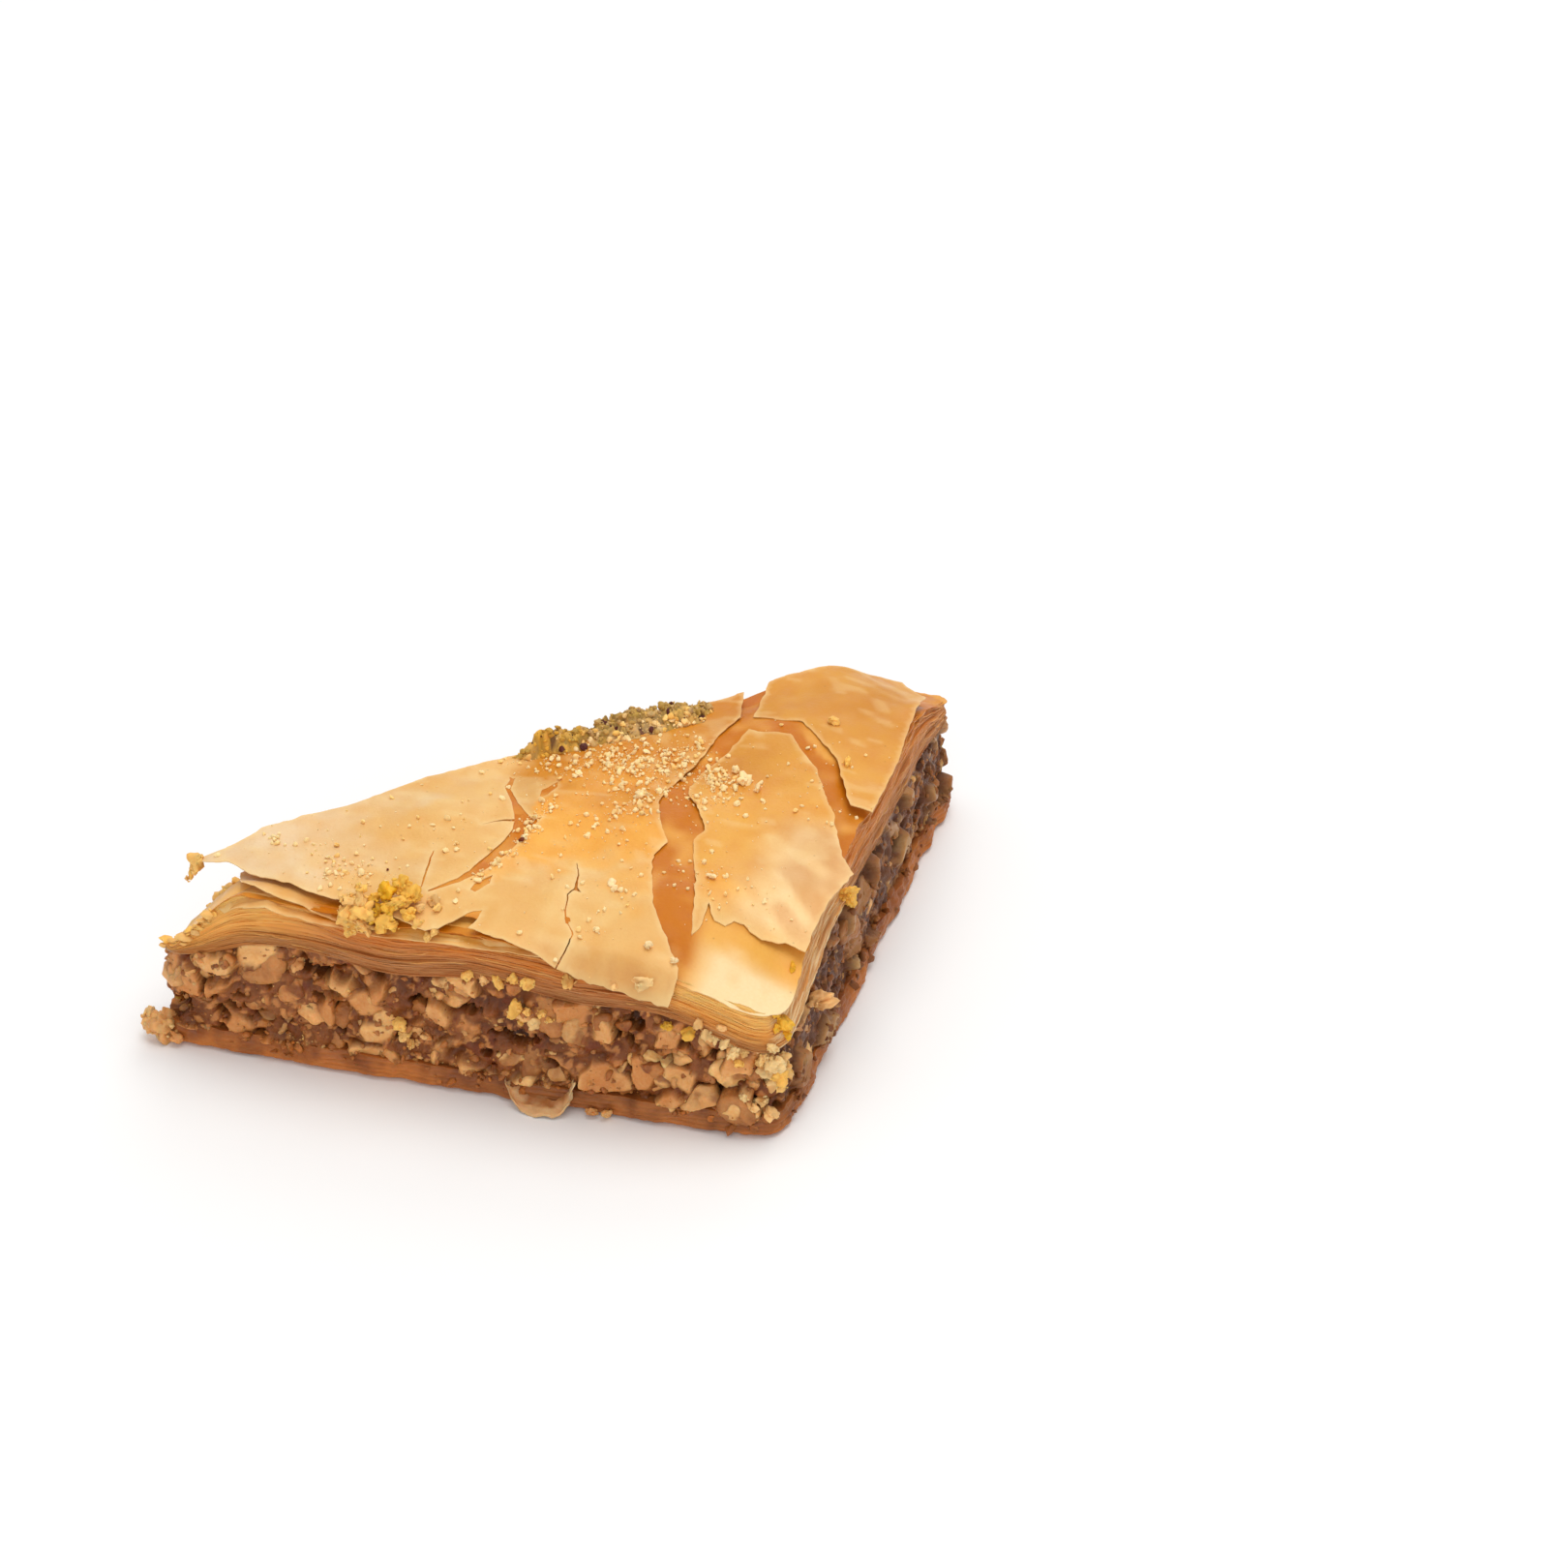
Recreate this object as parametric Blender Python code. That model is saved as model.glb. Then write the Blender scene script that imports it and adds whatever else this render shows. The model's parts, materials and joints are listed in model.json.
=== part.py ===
"""A triangular piece of walnut baklava, lying flat on its base.

The right-angled corner is at +X, -Y. One cut side faces -Y, the other faces +X, and the long side
runs from the left corner at -X, -Y to the rear corner at +X, +Y. Lengths below are in millimetres
from a point on the long side. The finished meshes are in metres, with the origin under the middle
of the triangle's inscribed circle.
"""

import math
import random

import bmesh
import bpy
import numpy as np
from mathutils import Matrix, Vector, noise
from mathutils.geometry import delaunay_2d_cdt

MM = 0.001

# Driving dimensions
LEG = 63.3
FRONT = -32.5
SIDE = FRONT + LEG
BLUNT = 3.9
BOW = 0.5
INSCRIBED = LEG * (1 - math.sqrt(0.5))
CENTRE = (SIDE - INSCRIBED, FRONT + INSCRIBED)
CORNERS = [
    ((FRONT + BLUNT, FRONT), 1.6),
    ((SIDE, FRONT), 3.8),
    ((SIDE, SIDE - BLUNT), 1.6),
    ((SIDE - BLUNT, SIDE - BLUNT), 1.6),
    ((FRONT + BLUNT, FRONT + BLUNT), 1.6),
]
LEFT_TIP = (FRONT + 3.5, FRONT + 1.0)
RIGHT_TIP = (SIDE, FRONT)
REAR_TIP = (SIDE - 1.0, SIDE - 3.5)
CRUSHED = (FRONT + 3.3, FRONT + 5.7)
BASE_THICK = 2.3
FILLING_TOP = 12.3
PASTRY_TOP = 17.2
DOME = 0.7
SHEET_RISE = 1.1
SHEET_THICK = 0.5
SHEET_ROOT = 2.0
CURL = 0.45
GAP = 0.3

# The wave of the boundary between filling and top pastry along X
WAVE_PERIOD = 18.2
WAVE_CREST = 2.5
WAVE_HEIGHT = 0.5

# How many points go round each solid
BASE_ROUND = 84
FILLING_ROUND = 126
PASTRY_ROUND = 96

# Visible leaves in the side of the top pastry, and how far they stand proud
LEAVES = 6
LEAF_PROUD = 0.34

# How far the solids are set in where they face each other, and the depth of the cracks between nuts
INNER_RIM = 0.9
NUT_RELIEF = 1.1

# The torn outlines of the loose top sheets, seen from above
LEFT_SHEET = [
    (-26.9, -28.8), (-23.2, -28.8), (-19.8, -30.2), (-15.8, -31.0), (-10.4, -32.0), (-4.6, -33.2),
    (-1.0, -32.8), (0.2, -30.0), (-0.2, -24.0), (-0.4, -17.6), (-0.2, -14.2), (-2.4, -9.2),
    (-3.6, -3.3), (-6.2, -5.7), (-11.7, -11.2), (-16.4, -17.0), (-21.6, -22.9), (-23.8, -26.6),
    (-26.6, -28.2),
]
MIDDLE_SHEET = [
    (1.5, -32.8), (6.5, -33.5), (10.6, -33.8), (13.0, -33.9), (17.0, -34.0), (20.6, -34.2),
    (21.0, -32.6), (19.8, -30.4), (18.2, -28.2), (16.3, -24.8), (15.0, -21.2), (14.3, -17.9),
    (14.9, -15.6), (13.3, -11.8), (12.0, -9.0), (12.3, -6.0), (13.6, -4.0), (13.5, 1.0), (15.0, 6.6),
    (13.4, 12.9), (7.6, 7.2), (1.8, 1.5), (-2.6, -3.0), (-0.8, -9.2), (0.6, -14.6), (0.6, -18.6),
    (1.2, -24.4), (1.4, -29.0),
]
RIGHT_SHEET = [
    (15.4, 1.0), (14.2, -4.6), (14.2, -6.5), (15.7, -8.3), (17.3, -11.7), (17.1, -14.2),
    (18.2, -18.5), (19.4, -22.0), (20.8, -27.6), (21.6, -24.0), (23.4, -26.4), (25.6, -26.4),
    (29.2, -28.0), (31.2, -27.8), (31.1, -23.4), (31.6, -18.8), (32.6, -15.2), (30.6, -12.6),
    (28.0, -6.4), (24.6, 0.2), (20.6, 5.0), (16.6, 5.2),
]
REAR_SHEET = [
    (31.2, -10.6), (31.3, -2.0), (31.0, 8.0), (30.0, 19.4), (26.4, 25.0), (20.6, 20.0), (15.6, 14.8),
    (16.4, 7.6), (21.2, 7.4), (25.8, 2.6), (29.2, -4.4),
]
SHEETS = (LEFT_SHEET, MIDDLE_SHEET, RIGHT_SHEET, REAR_SHEET)

# Crumbs on the top, and those under the tip of the left sheet: place and size
CRUMBS = [
    (-9.6, -31.4, 2.4), (-9.9, -29.6, 1.8), (-8.6, -30.3, 1.7), (-6.6, -29.9, 2.0),
    (-4.9, -29.6, 2.5), (-4.0, -31.0, 1.9), (-5.8, -31.4, 1.8), (-2.9, -30.4, 1.4),
    (21.4, -27.8, 1.2), (29.9, -28.9, 1.6), (8.2, -7.8, 1.1), (10.4, -9.6, 1.0), (3.6, -6.6, 1.2),
    (18.6, -3.4, 1.6), (20.3, -4.6, 1.3), (17.4, -2.0, 1.4), (12.6, -30.0, 1.1), (24.0, 8.0, 1.5),
    (27.0, 2.0, 1.2), (-14.0, -24.0, 1.0),
]
TIP_CRUMBS = [(-27.2, -28.6, 16.5, 2.0), (-27.2, -28.6, 15.6, 1.5)]

# The pistachio mound's outline: along the rear edge from its middle, and in from it
MOUND = [
    (-5.8, 0.5), (-4.2, 1.9), (-1.6, 2.6), (1.0, 3.2), (4.4, 4.3), (9.0, 4.6), (12.6, 4.0),
    (14.8, 2.4), (14.2, 0.8), (9.0, 0.1), (3.0, 0.1), (-2.0, 0.0),
]

# The curl of loose pastry in front of the base, and crumbs stuck to the left corner: place and size
SCRAP = [(4.6, -31.6), (6.0, -33.6), (8.2, -34.7), (10.2, -34.5), (11.6, -33.2), (11.8, -31.6)]
STRAY = [
    (-28.5, -32.0, 1.5, 2.9), (-29.6, -32.2, 1.3, 2.3), (-30.3, -31.6, 2.2, 1.7),
    (-27.3, -32.8, 1.0, 1.7),
]


def resampled(path, count):
    """The closed path as that many points, evenly spaced along it."""
    closed = np.vstack([path, path[:1]])
    steps = np.hypot(*np.diff(closed, axis=0).T)
    length = np.concatenate([[0.0], np.cumsum(steps)])
    at = np.linspace(0.0, length[-1], count, endpoint=False)
    return np.stack([np.interp(at, length, closed[:, k]) for k in (0, 1)], axis=1)


def plan(count):
    """Points round the piece seen from above, anticlockwise, and the outward direction at each."""
    path = []
    for i, (corner, radius) in enumerate(CORNERS):
        here = np.array(corner)
        before = np.array(CORNERS[i - 1][0]) - here
        after = np.array(CORNERS[(i + 1) % len(CORNERS)][0]) - here
        before /= np.hypot(*before)
        after /= np.hypot(*after)
        half_angle = math.acos(np.clip(before @ after, -1, 1)) / 2
        middle = here + (before + after) / np.hypot(*(before + after)) * radius / math.sin(half_angle)
        start = here + before * radius / math.tan(half_angle) - middle
        turn = math.pi - 2 * half_angle
        for step in range(7):
            angle = turn * step / 6
            c, s = math.cos(angle), math.sin(angle)
            path.append(middle + (start[0] * c - start[1] * s, start[0] * s + start[1] * c))
    points = resampled(np.array(path), count)
    bow = BOW * (1 - (2 * (points[:, 0] - FRONT) / LEG - 1) ** 2)
    points[:, 1] -= bow * smooth((FRONT + 4 - points[:, 1]) / 4)
    along = np.roll(points, -1, axis=0) - np.roll(points, 1, axis=0)
    along /= np.hypot(*along.T)[:, None]
    return points, np.stack([along[:, 1], -along[:, 0]], axis=1)


def smooth(t):
    """0 at t 0, 1 at t 1, with no corner between."""
    t = np.clip(t, 0.0, 1.0)
    return t * t * (3 - 2 * t)


def sag(x, y, tip, depth, reach):
    """How far a surface drops towards a cut corner."""
    return depth * (1 - smooth(np.hypot(x - tip[0], y - tip[1]) / reach))


def left_sag(x, y):
    """How far the pressed leaves drop towards the left corner, more on the long side than in front."""
    return 7.0 * (1 - smooth((x - LEFT_TIP[0] - 0.5 * (y - LEFT_TIP[1])) / 9.6))


def crush(x, y):
    """How far the blunt left corner is pressed down on the long side."""
    return sag(x, y, CRUSHED, 3.4, 5.6)


def filling_top(x, y):
    """Height of the boundary between the nuts and the top pastry."""
    wave = WAVE_HEIGHT * np.cos(2 * np.pi * (x - WAVE_CREST + 0.4 * (y - FRONT)) / WAVE_PERIOD)
    corners = sag(x, y, LEFT_TIP, 2.2, 11) + sag(x, y, RIGHT_TIP, 2.8, 18) + sag(x, y, REAR_TIP, 2.6, 13)
    return FILLING_TOP + wave - corners - crush(x, y)


def crown(x, y):
    """Height that the pressed leaves would have if the left corner weren't crushed."""
    dome = DOME * smooth(inset_of(x, y) / 9.0)
    ripple = 0.22 * np.sin(x * 0.31 + y * 0.17) + 0.16 * np.cos(y * 0.43 - x * 0.12)
    return PASTRY_TOP + dome + ripple - sag(x, y, RIGHT_TIP, 4.0, 17) - sag(x, y, REAR_TIP, 5.5, 14)


def pastry_top(x, y):
    """Height of the upper face of the pressed leaves, before the loose sheets on it."""
    return np.maximum(crown(x, y) - left_sag(x, y) - crush(x, y), filling_top(x, y) + 1.3)


def inset_of(x, y):
    """Distance inside the nearest of the three cut sides, negative outside."""
    return np.minimum(np.minimum(SIDE - x, y - FRONT), (x - y) / math.sqrt(2))


def lumps(points, size, seed):
    """Smooth noise from -1 to 1 at each point, for features of about that size."""
    offset = Vector((seed * 7.3, seed * 3.1, seed * 5.7))
    return np.array([noise.noise(Vector(p) / size + offset) for p in points])


def nut_cells(points, size, seed):
    """Relief of packed nut pieces: about 1 on the middle of a piece and 0 in the cracks round it."""
    offset = Vector((seed * 4.1, seed * 2.3, seed * 6.9))
    relief = []
    for p in points:
        distances, _ = noise.voronoi(Vector(p) / size + offset)
        relief.append(min(1.0, (distances[1] - distances[0]) * 2.4))
    return np.array(relief)


def raised(points, outward, offset, height):
    """A ring of points moved outwards by offset, at the height that the function gives there."""
    moved = points + outward * np.reshape(offset, (-1, 1))
    return np.column_stack([moved, np.broadcast_to(height(*moved.T), len(points))])


def between(low, high, share):
    """The height function that far from one height function to another."""
    return lambda x, y: low(x, y) + (high(x, y) - low(x, y)) * share


def material(name, colour, roughness):
    """A plain Principled BSDF with that colour."""
    made = bpy.data.materials.new(name)
    made.use_nodes = True
    shader = made.node_tree.nodes["Principled BSDF"]
    shader.inputs["Base Color"].default_value = (*colour, 1)
    shader.inputs["Roughness"].default_value = roughness
    return made


def add_object(name, bm, finish=None):
    """Makes an object, in metres from its origin, of a mesh in millimetres, and links it to the scene."""
    bmesh.ops.translate(bm, vec=(-CENTRE[0], -CENTRE[1], 0), verts=bm.verts)
    bmesh.ops.scale(bm, vec=(MM, MM, MM), verts=bm.verts)
    mesh = bpy.data.meshes.new(name)
    bm.to_mesh(mesh)
    bm.free()
    obj = bpy.data.objects.new(name, mesh)
    bpy.context.scene.collection.objects.link(obj)
    if finish:
        mesh.materials.append(finish)
    return obj


def skin(rings, low, high):
    """A closed mesh over rings that run from the underside's rim, up the wall and in over the top."""
    bm = bmesh.new()
    loops = [[bm.verts.new(p) for p in ring] for ring in rings]
    count = len(loops[0])
    for lower, upper in zip(loops, loops[1:]):
        for i in range(count):
            j = (i + 1) % count
            bm.faces.new((lower[i], lower[j], upper[j], upper[i]))
    bottom, top = bm.verts.new(low), bm.verts.new(high)
    for i in range(count):
        j = (i + 1) % count
        bm.faces.new((bottom, loops[0][j], loops[0][i]))
        bm.faces.new((top, loops[-1][i], loops[-1][j]))
    return bm


def plate(name, outline, heights, spacing, ragged, seed):
    """A thin solid with a ragged outline.

    heights gives the upper and lower height at x, y for a point that far in from the outline.
    """
    rim = []
    for start, end in zip(outline, outline[1:] + outline[:1]):
        count = max(1, round(math.dist(start, end) / (spacing * 0.75)))
        rim += [np.add(start, np.subtract(end, start) * k / count) for k in range(count)]
    rim = np.array(rim)
    rim += ragged * np.column_stack([lumps([(x, y, k) for x, y in rim], 1.3, seed) for k in (0, 40)])
    low, high = rim.min(0), rim.max(0)
    inner = []
    for row, y in enumerate(np.arange(low[1] + spacing / 2, high[1], spacing * 0.87)):
        for x in np.arange(low[0] + spacing / 2 * (1 + row % 2), high[0], spacing):
            if np.hypot(*(rim - (x, y)).T).min() > spacing * 0.55:
                inner.append((x, y))
    flat = [Vector(p) for p in (*rim, *inner)]
    round_rim = [(i, (i + 1) % len(rim)) for i in range(len(rim))]
    points, _, faces, *_ = delaunay_2d_cdt(flat, round_rim, [], 1, 1e-5)
    xy = np.array([tuple(p) for p in points])
    inside = np.array([np.hypot(*(rim - p).T).min() for p in xy])
    above, below = heights(xy[:, 0], xy[:, 1], inside)
    bm = bmesh.new()
    upper = [bm.verts.new((*p, z)) for p, z in zip(xy, above)]
    lower = [bm.verts.new((*p, z)) for p, z in zip(xy, below)]
    edges = set()
    for face in faces:
        corners = list(face)
        a, b, c = (points[i] for i in corners[:3])
        if (b - a).cross(c - a) < 0:
            corners.reverse()
        bm.faces.new([upper[i] for i in corners])
        bm.faces.new([lower[i] for i in reversed(corners)])
        for i, j in zip(corners, corners[1:] + corners[:1]):
            edges.add((i, j))
    for i, j in sorted(edges):
        if (j, i) not in edges:
            bm.faces.new((upper[j], upper[i], lower[i], lower[j]))
    return add_object(name, bm)


def crumb(name, place, size, draw, flat=1.0):
    """One irregular crumb, about size across, with its middle at place."""
    bm = bmesh.new()
    bmesh.ops.create_icosphere(bm, subdivisions=1, radius=size / 2)
    for v in bm.verts:
        v.co *= draw.uniform(0.8, 1.2)
        v.co.z *= flat
    spin = Matrix.Rotation(draw.uniform(0, math.tau), 4, "Z")
    tilt = Matrix.Rotation(draw.uniform(-0.5, 0.5), 4, "X")
    bmesh.ops.transform(bm, matrix=Matrix.Translation(place) @ spin @ tilt, verts=bm.verts)
    return add_object(name, bm)


def outer_surface(mesh):
    """Leaves only the mesh's largest closed surface, so that pockets between fused pieces are solid."""
    bm = bmesh.new()
    bm.from_mesh(mesh)
    waiting = set(bm.faces)
    shells = []
    while waiting:
        shell, front = set(), [next(iter(waiting))]
        while front:
            face = front.pop()
            if face in shell:
                continue
            shell.add(face)
            for edge in face.edges:
                if len(edge.link_faces) == 2:
                    front.extend(edge.link_faces)
        waiting -= shell
        shells.append(shell)
    shells.sort(key=len)
    for shell in shells[:-1]:
        bmesh.ops.delete(bm, geom=list(shell), context="FACES")
    bm.to_mesh(mesh)
    bm.free()


def fuse(body, pieces):
    """Joins the pieces to the body with one Boolean union, applied, and removes them."""
    group = bpy.data.collections.new(body.name + "_pieces")
    bpy.context.scene.collection.children.link(group)
    for piece in pieces:
        bpy.context.scene.collection.objects.unlink(piece)
        group.objects.link(piece)
    union = body.modifiers.new("join", "BOOLEAN")
    union.operation = "UNION"
    union.operand_type = "COLLECTION"
    union.collection = group
    bpy.context.view_layer.update()
    graph = bpy.context.evaluated_depsgraph_get()
    joined = bpy.data.meshes.new_from_object(body.evaluated_get(graph))
    body.modifiers.remove(union)
    outer_surface(joined)
    body.data = joined
    for piece in pieces:
        bpy.data.objects.remove(piece)
    bpy.data.collections.remove(group)
    joined.shade_smooth()
    joined.set_sharp_from_angle(angle=math.radians(35))


def base_solid(finish):
    """The thin bottom pastry, pressed into three leaves, with its stray crumbs and curled scrap."""
    points, outward = plan(BASE_ROUND)
    rough = lumps([(x, y, 0) for x, y in points], 3.0, 1)
    profile = [(-0.6, 0.0), (0.1, 0.3), (0.5, 0.75), (0.15, 1.05), (0.4, 1.45), (0.0, 1.75)]
    profile.append((-0.1, BASE_THICK))
    rings = [raised(points, outward, proud + 0.35 * rough, lambda x, y, z=z: z) for proud, z in profile]
    base = add_object("bottom_pastry", skin(rings, (*CENTRE, 0.0), (*CENTRE, BASE_THICK)), finish)
    draw = random.Random(3)
    pieces = [crumb("stray", (x, y, z), size, draw) for x, y, z, size in STRAY]
    pieces.append(plate("scrap", SCRAP, scrap_heights, 1.4, 0.15, 5))
    fuse(base, pieces)
    return base


def scrap_heights(x, y, _inside):
    """The scrap of pastry that curls out of the front of the base."""
    out = np.clip(FRONT - y, 0, 3)
    below = 0.3 + 0.12 * out
    return below + 0.75 + 0.5 * smooth(out / 2.0), below


def filling_solid(finish):
    """The layer of chopped nuts, with its packed pieces as relief and the proud ones fused on."""
    points, outward = plan(FILLING_ROUND)
    low = BASE_THICK + GAP
    high = filling_top(*points.T) - GAP / 2
    rings = []
    for share in (0.0, 0.09, 0.22, 0.36, 0.5, 0.64, 0.78, 0.91, 1.0):
        at = np.column_stack([points, low + (high - low) * share])
        bulge = 0.5 * math.sin(math.pi * share) - INNER_RIM
        relief = NUT_RELIEF * nut_cells(at, 3.4, 2) + 0.4 * lumps(at, 7.0, 4)
        height = between(lambda x, y: low, lambda x, y: filling_top(x, y) - GAP / 2, share)
        rings.append(raised(points, outward, bulge + relief * smooth((1 - share) / 0.09), height))
    top = filling_top(*CENTRE) - GAP / 2
    filling = add_object("nut_filling", skin(rings, (*CENTRE, low), (*CENTRE, top)), finish)
    draw = random.Random(8)
    pieces = []
    for _ in range(46):
        i = draw.randrange(FILLING_ROUND)
        size = draw.uniform(1.4, 3.3)
        room = size * 0.7 + 0.3
        z = draw.uniform(low + room, high[i] - room)
        x, y = points[i] + outward[i] * draw.uniform(-0.5, -0.1)
        pieces.append(crumb("nut", (x, y, z), size, draw, 0.8))
    fuse(filling, pieces)
    return filling


def pastry_low(x, y):
    """Height of the underside of the top pastry, a gap above the nuts."""
    return filling_top(x, y) + GAP / 2


def leaf_offset(share, at, leaf_seed):
    """How far the edge of a leaf stands proud of the cut side."""
    in_leaf = (share * LEAVES) % 1.0
    proud = LEAF_PROUD if 0.2 < in_leaf < 0.8 else -LEAF_PROUD * 0.6
    return proud + 0.3 * lumps(at, 4.5, 10 + leaf_seed)


def pastry_solid(finish):
    """The pressed leaves of the top pastry, the loose sheets on them and the crumbs that stick."""
    points, outward = plan(PASTRY_ROUND)
    rings = [raised(points, outward, -INNER_RIM, pastry_low)]
    for leaf in range(LEAVES):
        for share in ((leaf + 0.25) / LEAVES, (leaf + 0.75) / LEAVES, (leaf + 0.98) / LEAVES):
            if share > 0.97:
                continue
            at = np.column_stack([points, np.zeros(PASTRY_ROUND)])
            offset = leaf_offset(share, at, leaf) - 0.55 * share
            rings.append(raised(points, outward, offset, between(pastry_low, pastry_top, share)))
    for inward in (0.055, 0.16, 0.3, 0.45, 0.62, 0.8):
        x, y = (points + (np.array(CENTRE) - points) * inward).T
        rings.append(np.column_stack([x, y, pastry_top(x, y)]))
    low, high = (*CENTRE, pastry_low(*CENTRE)), (*CENTRE, pastry_top(*CENTRE))
    pastry = add_object("top_pastry", skin(rings, low, high), finish)
    pieces = [
        plate("sheet", outline, sheet_heights, 3.4, 0.25, seed) for seed, outline in enumerate(SHEETS, 31)
    ]
    draw = random.Random(21)
    for x, y, size in CRUMBS:
        z = sheet_level(x, y) + size * 0.22
        pieces.append(crumb("crumb", (x, y, z), size, draw))
    pieces += [crumb("tip", (x, y, z), size, draw) for x, y, z, size in TIP_CRUMBS]
    fuse(pastry, pieces)
    return pastry


def overhang(x, y):
    """How far a point is outside the cut sides."""
    return np.clip(-inset_of(x, y), 0, None)


def sheet_level(x, y):
    """Upper side of the loose sheets: on the pressed leaves, level over the sunken left corner."""
    x, y = np.asarray(x, float), np.asarray(y, float)
    tail = 0.9 * (1 - smooth((x + 28) / 4))
    hang = 0.3 + 1.6 * smooth((x - 6) / 9) * smooth((FRONT + 2 - y) / 1.5)
    return crown(x, y) + SHEET_RISE - tail - hang * overhang(x, y)


def sheet_heights(x, y, inside):
    """A loose sheet: sunk in the pressed leaves inside, thin and a little curled up at its torn edge."""
    along, across = (x + y) / math.sqrt(2), (x - y) / math.sqrt(2)
    clear = np.maximum(smooth((across - 6.0) / 3.0), smooth((np.abs(along - 4.5) - 10.5) / 3.0))
    edge = 1 - smooth(inside / 2.4)
    curl = CURL * edge * clear * (1 + 0.6 * np.sin(x * 0.7 + y * 0.5))
    level = sheet_level(x, y)
    lifted = smooth((level - pastry_top(x, y) - SHEET_RISE) / 0.3)
    free = np.maximum(np.maximum(edge, lifted), smooth(overhang(x, y) / 0.6))
    return level + curl, level + curl - SHEET_THICK - (1 - free) * SHEET_ROOT


def rear(along, across):
    """The point that far along the rear edge from its middle, and that far in from it."""
    return (along + across) / math.sqrt(2), (along - across) / math.sqrt(2)


def mound_solid(finish):
    """The ground pistachio heaped on the rear rim, halfway along the long side."""
    outline = [rear(*p) for p in MOUND]
    mound = plate("pistachio_mound", outline, mound_heights, 1.9, 0.3, 41)
    mound.data.materials.append(finish)
    draw = random.Random(14)
    pieces = []
    while len(pieces) < 26:
        x, y = rear(draw.uniform(-4.6, 14.0), draw.uniform(0.7, 4.8))
        above, below = mound_heights(x, y, 1.0)
        size = draw.uniform(1.0, 1.7)
        if above - below > 0.2 + 0.3 * size:
            pieces.append(crumb("grain", (x, y, float(above) - 0.05 * size), size, draw, 0.8))
    fuse(mound, pieces)
    return mound


def mound_heights(x, y, _inside):
    """The mound on the loose sheets: a small heap, a dip, then the main heap."""
    x, y = np.asarray(x, float), np.asarray(y, float)
    along, across = (x + y) / math.sqrt(2), (x - y) / math.sqrt(2)
    small = 0.8 * (1 - smooth(np.abs(along + 2.4) / 3.4)) * (1 - smooth(np.abs(across - 1.0) / 2.6))
    main = 0.3 * smooth((6.4 - np.abs(along - 8.0)) / 4.0) * (1 - smooth(np.abs(across - 1.6) / 3.6))
    rough = 0.15 * np.sin(x * 3.1 + y) * np.cos(y * 2.7 - x * 0.6) * smooth(small + main)
    below = sheet_level(x, y) + GAP
    return below + 0.4 + small + main + rough, below


def build():
    """Clears the scene and makes the four solids of the piece."""
    for obj in list(bpy.data.objects):
        bpy.data.objects.remove(obj)
    baked = material("baked_pastry", (0.86, 0.52, 0.22), 0.4)
    soaked = material("soaked_pastry", (0.55, 0.27, 0.10), 0.45)
    nuts = material("chopped_nuts", (0.42, 0.25, 0.14), 0.6)
    pistachio = material("ground_pistachio", (0.55, 0.50, 0.12), 0.7)
    base_solid(soaked)
    filling_solid(nuts)
    pastry_solid(baked)
    mound_solid(pistachio)


build()
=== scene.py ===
"""The looks of a triangular piece of walnut baklava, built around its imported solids.

Shapes are worked out in millimetres from a point on the long side, as the solids were, and moved to
the frame's metres when a mesh is made.
"""

import json
import math
import random

import bmesh
import bpy
import numpy as np
from mathutils import Matrix, Vector
from mathutils.bvhtree import BVHTree
from mathutils.geometry import delaunay_2d_cdt

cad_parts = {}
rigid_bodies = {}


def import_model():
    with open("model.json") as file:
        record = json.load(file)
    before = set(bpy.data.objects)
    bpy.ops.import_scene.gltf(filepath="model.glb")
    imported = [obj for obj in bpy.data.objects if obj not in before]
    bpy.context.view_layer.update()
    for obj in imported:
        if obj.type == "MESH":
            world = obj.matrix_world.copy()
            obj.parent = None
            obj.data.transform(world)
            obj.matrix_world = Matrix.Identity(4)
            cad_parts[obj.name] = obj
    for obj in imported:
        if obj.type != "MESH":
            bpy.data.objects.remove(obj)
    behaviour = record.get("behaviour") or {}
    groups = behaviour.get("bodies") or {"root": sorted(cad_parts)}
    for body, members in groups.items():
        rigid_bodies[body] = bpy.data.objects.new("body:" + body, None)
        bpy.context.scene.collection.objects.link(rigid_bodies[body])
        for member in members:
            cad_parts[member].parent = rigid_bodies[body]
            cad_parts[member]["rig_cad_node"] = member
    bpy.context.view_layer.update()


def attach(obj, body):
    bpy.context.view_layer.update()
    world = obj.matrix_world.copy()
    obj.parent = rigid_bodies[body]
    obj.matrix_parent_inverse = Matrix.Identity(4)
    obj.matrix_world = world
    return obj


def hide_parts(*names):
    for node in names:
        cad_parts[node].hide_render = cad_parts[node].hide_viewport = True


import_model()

MM = 0.001

# Sizes that the solids have too
LEG = 63.3
FRONT = -32.5
SIDE = FRONT + LEG
BLUNT = 3.9
BOW = 0.5
INSCRIBED = LEG * (1 - math.sqrt(0.5))
CENTRE = (SIDE - INSCRIBED, FRONT + INSCRIBED)
CORNERS = [
    ((FRONT + BLUNT, FRONT), 1.6),
    ((SIDE, FRONT), 3.8),
    ((SIDE, SIDE - BLUNT), 1.6),
    ((SIDE - BLUNT, SIDE - BLUNT), 1.6),
    ((FRONT + BLUNT, FRONT + BLUNT), 1.6),
]
LEFT_TIP = (FRONT + 3.5, FRONT + 1.0)
RIGHT_TIP = (SIDE, FRONT)
REAR_TIP = (SIDE - 1.0, SIDE - 3.5)
BASE_THICK = 2.3
FILLING_TOP = 12.3
PASTRY_TOP = 17.2
DOME = 0.7
SHEET_RISE = 1.1
WAVE_PERIOD = 18.2
WAVE_CREST = 2.5
WAVE_HEIGHT = 0.5

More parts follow.
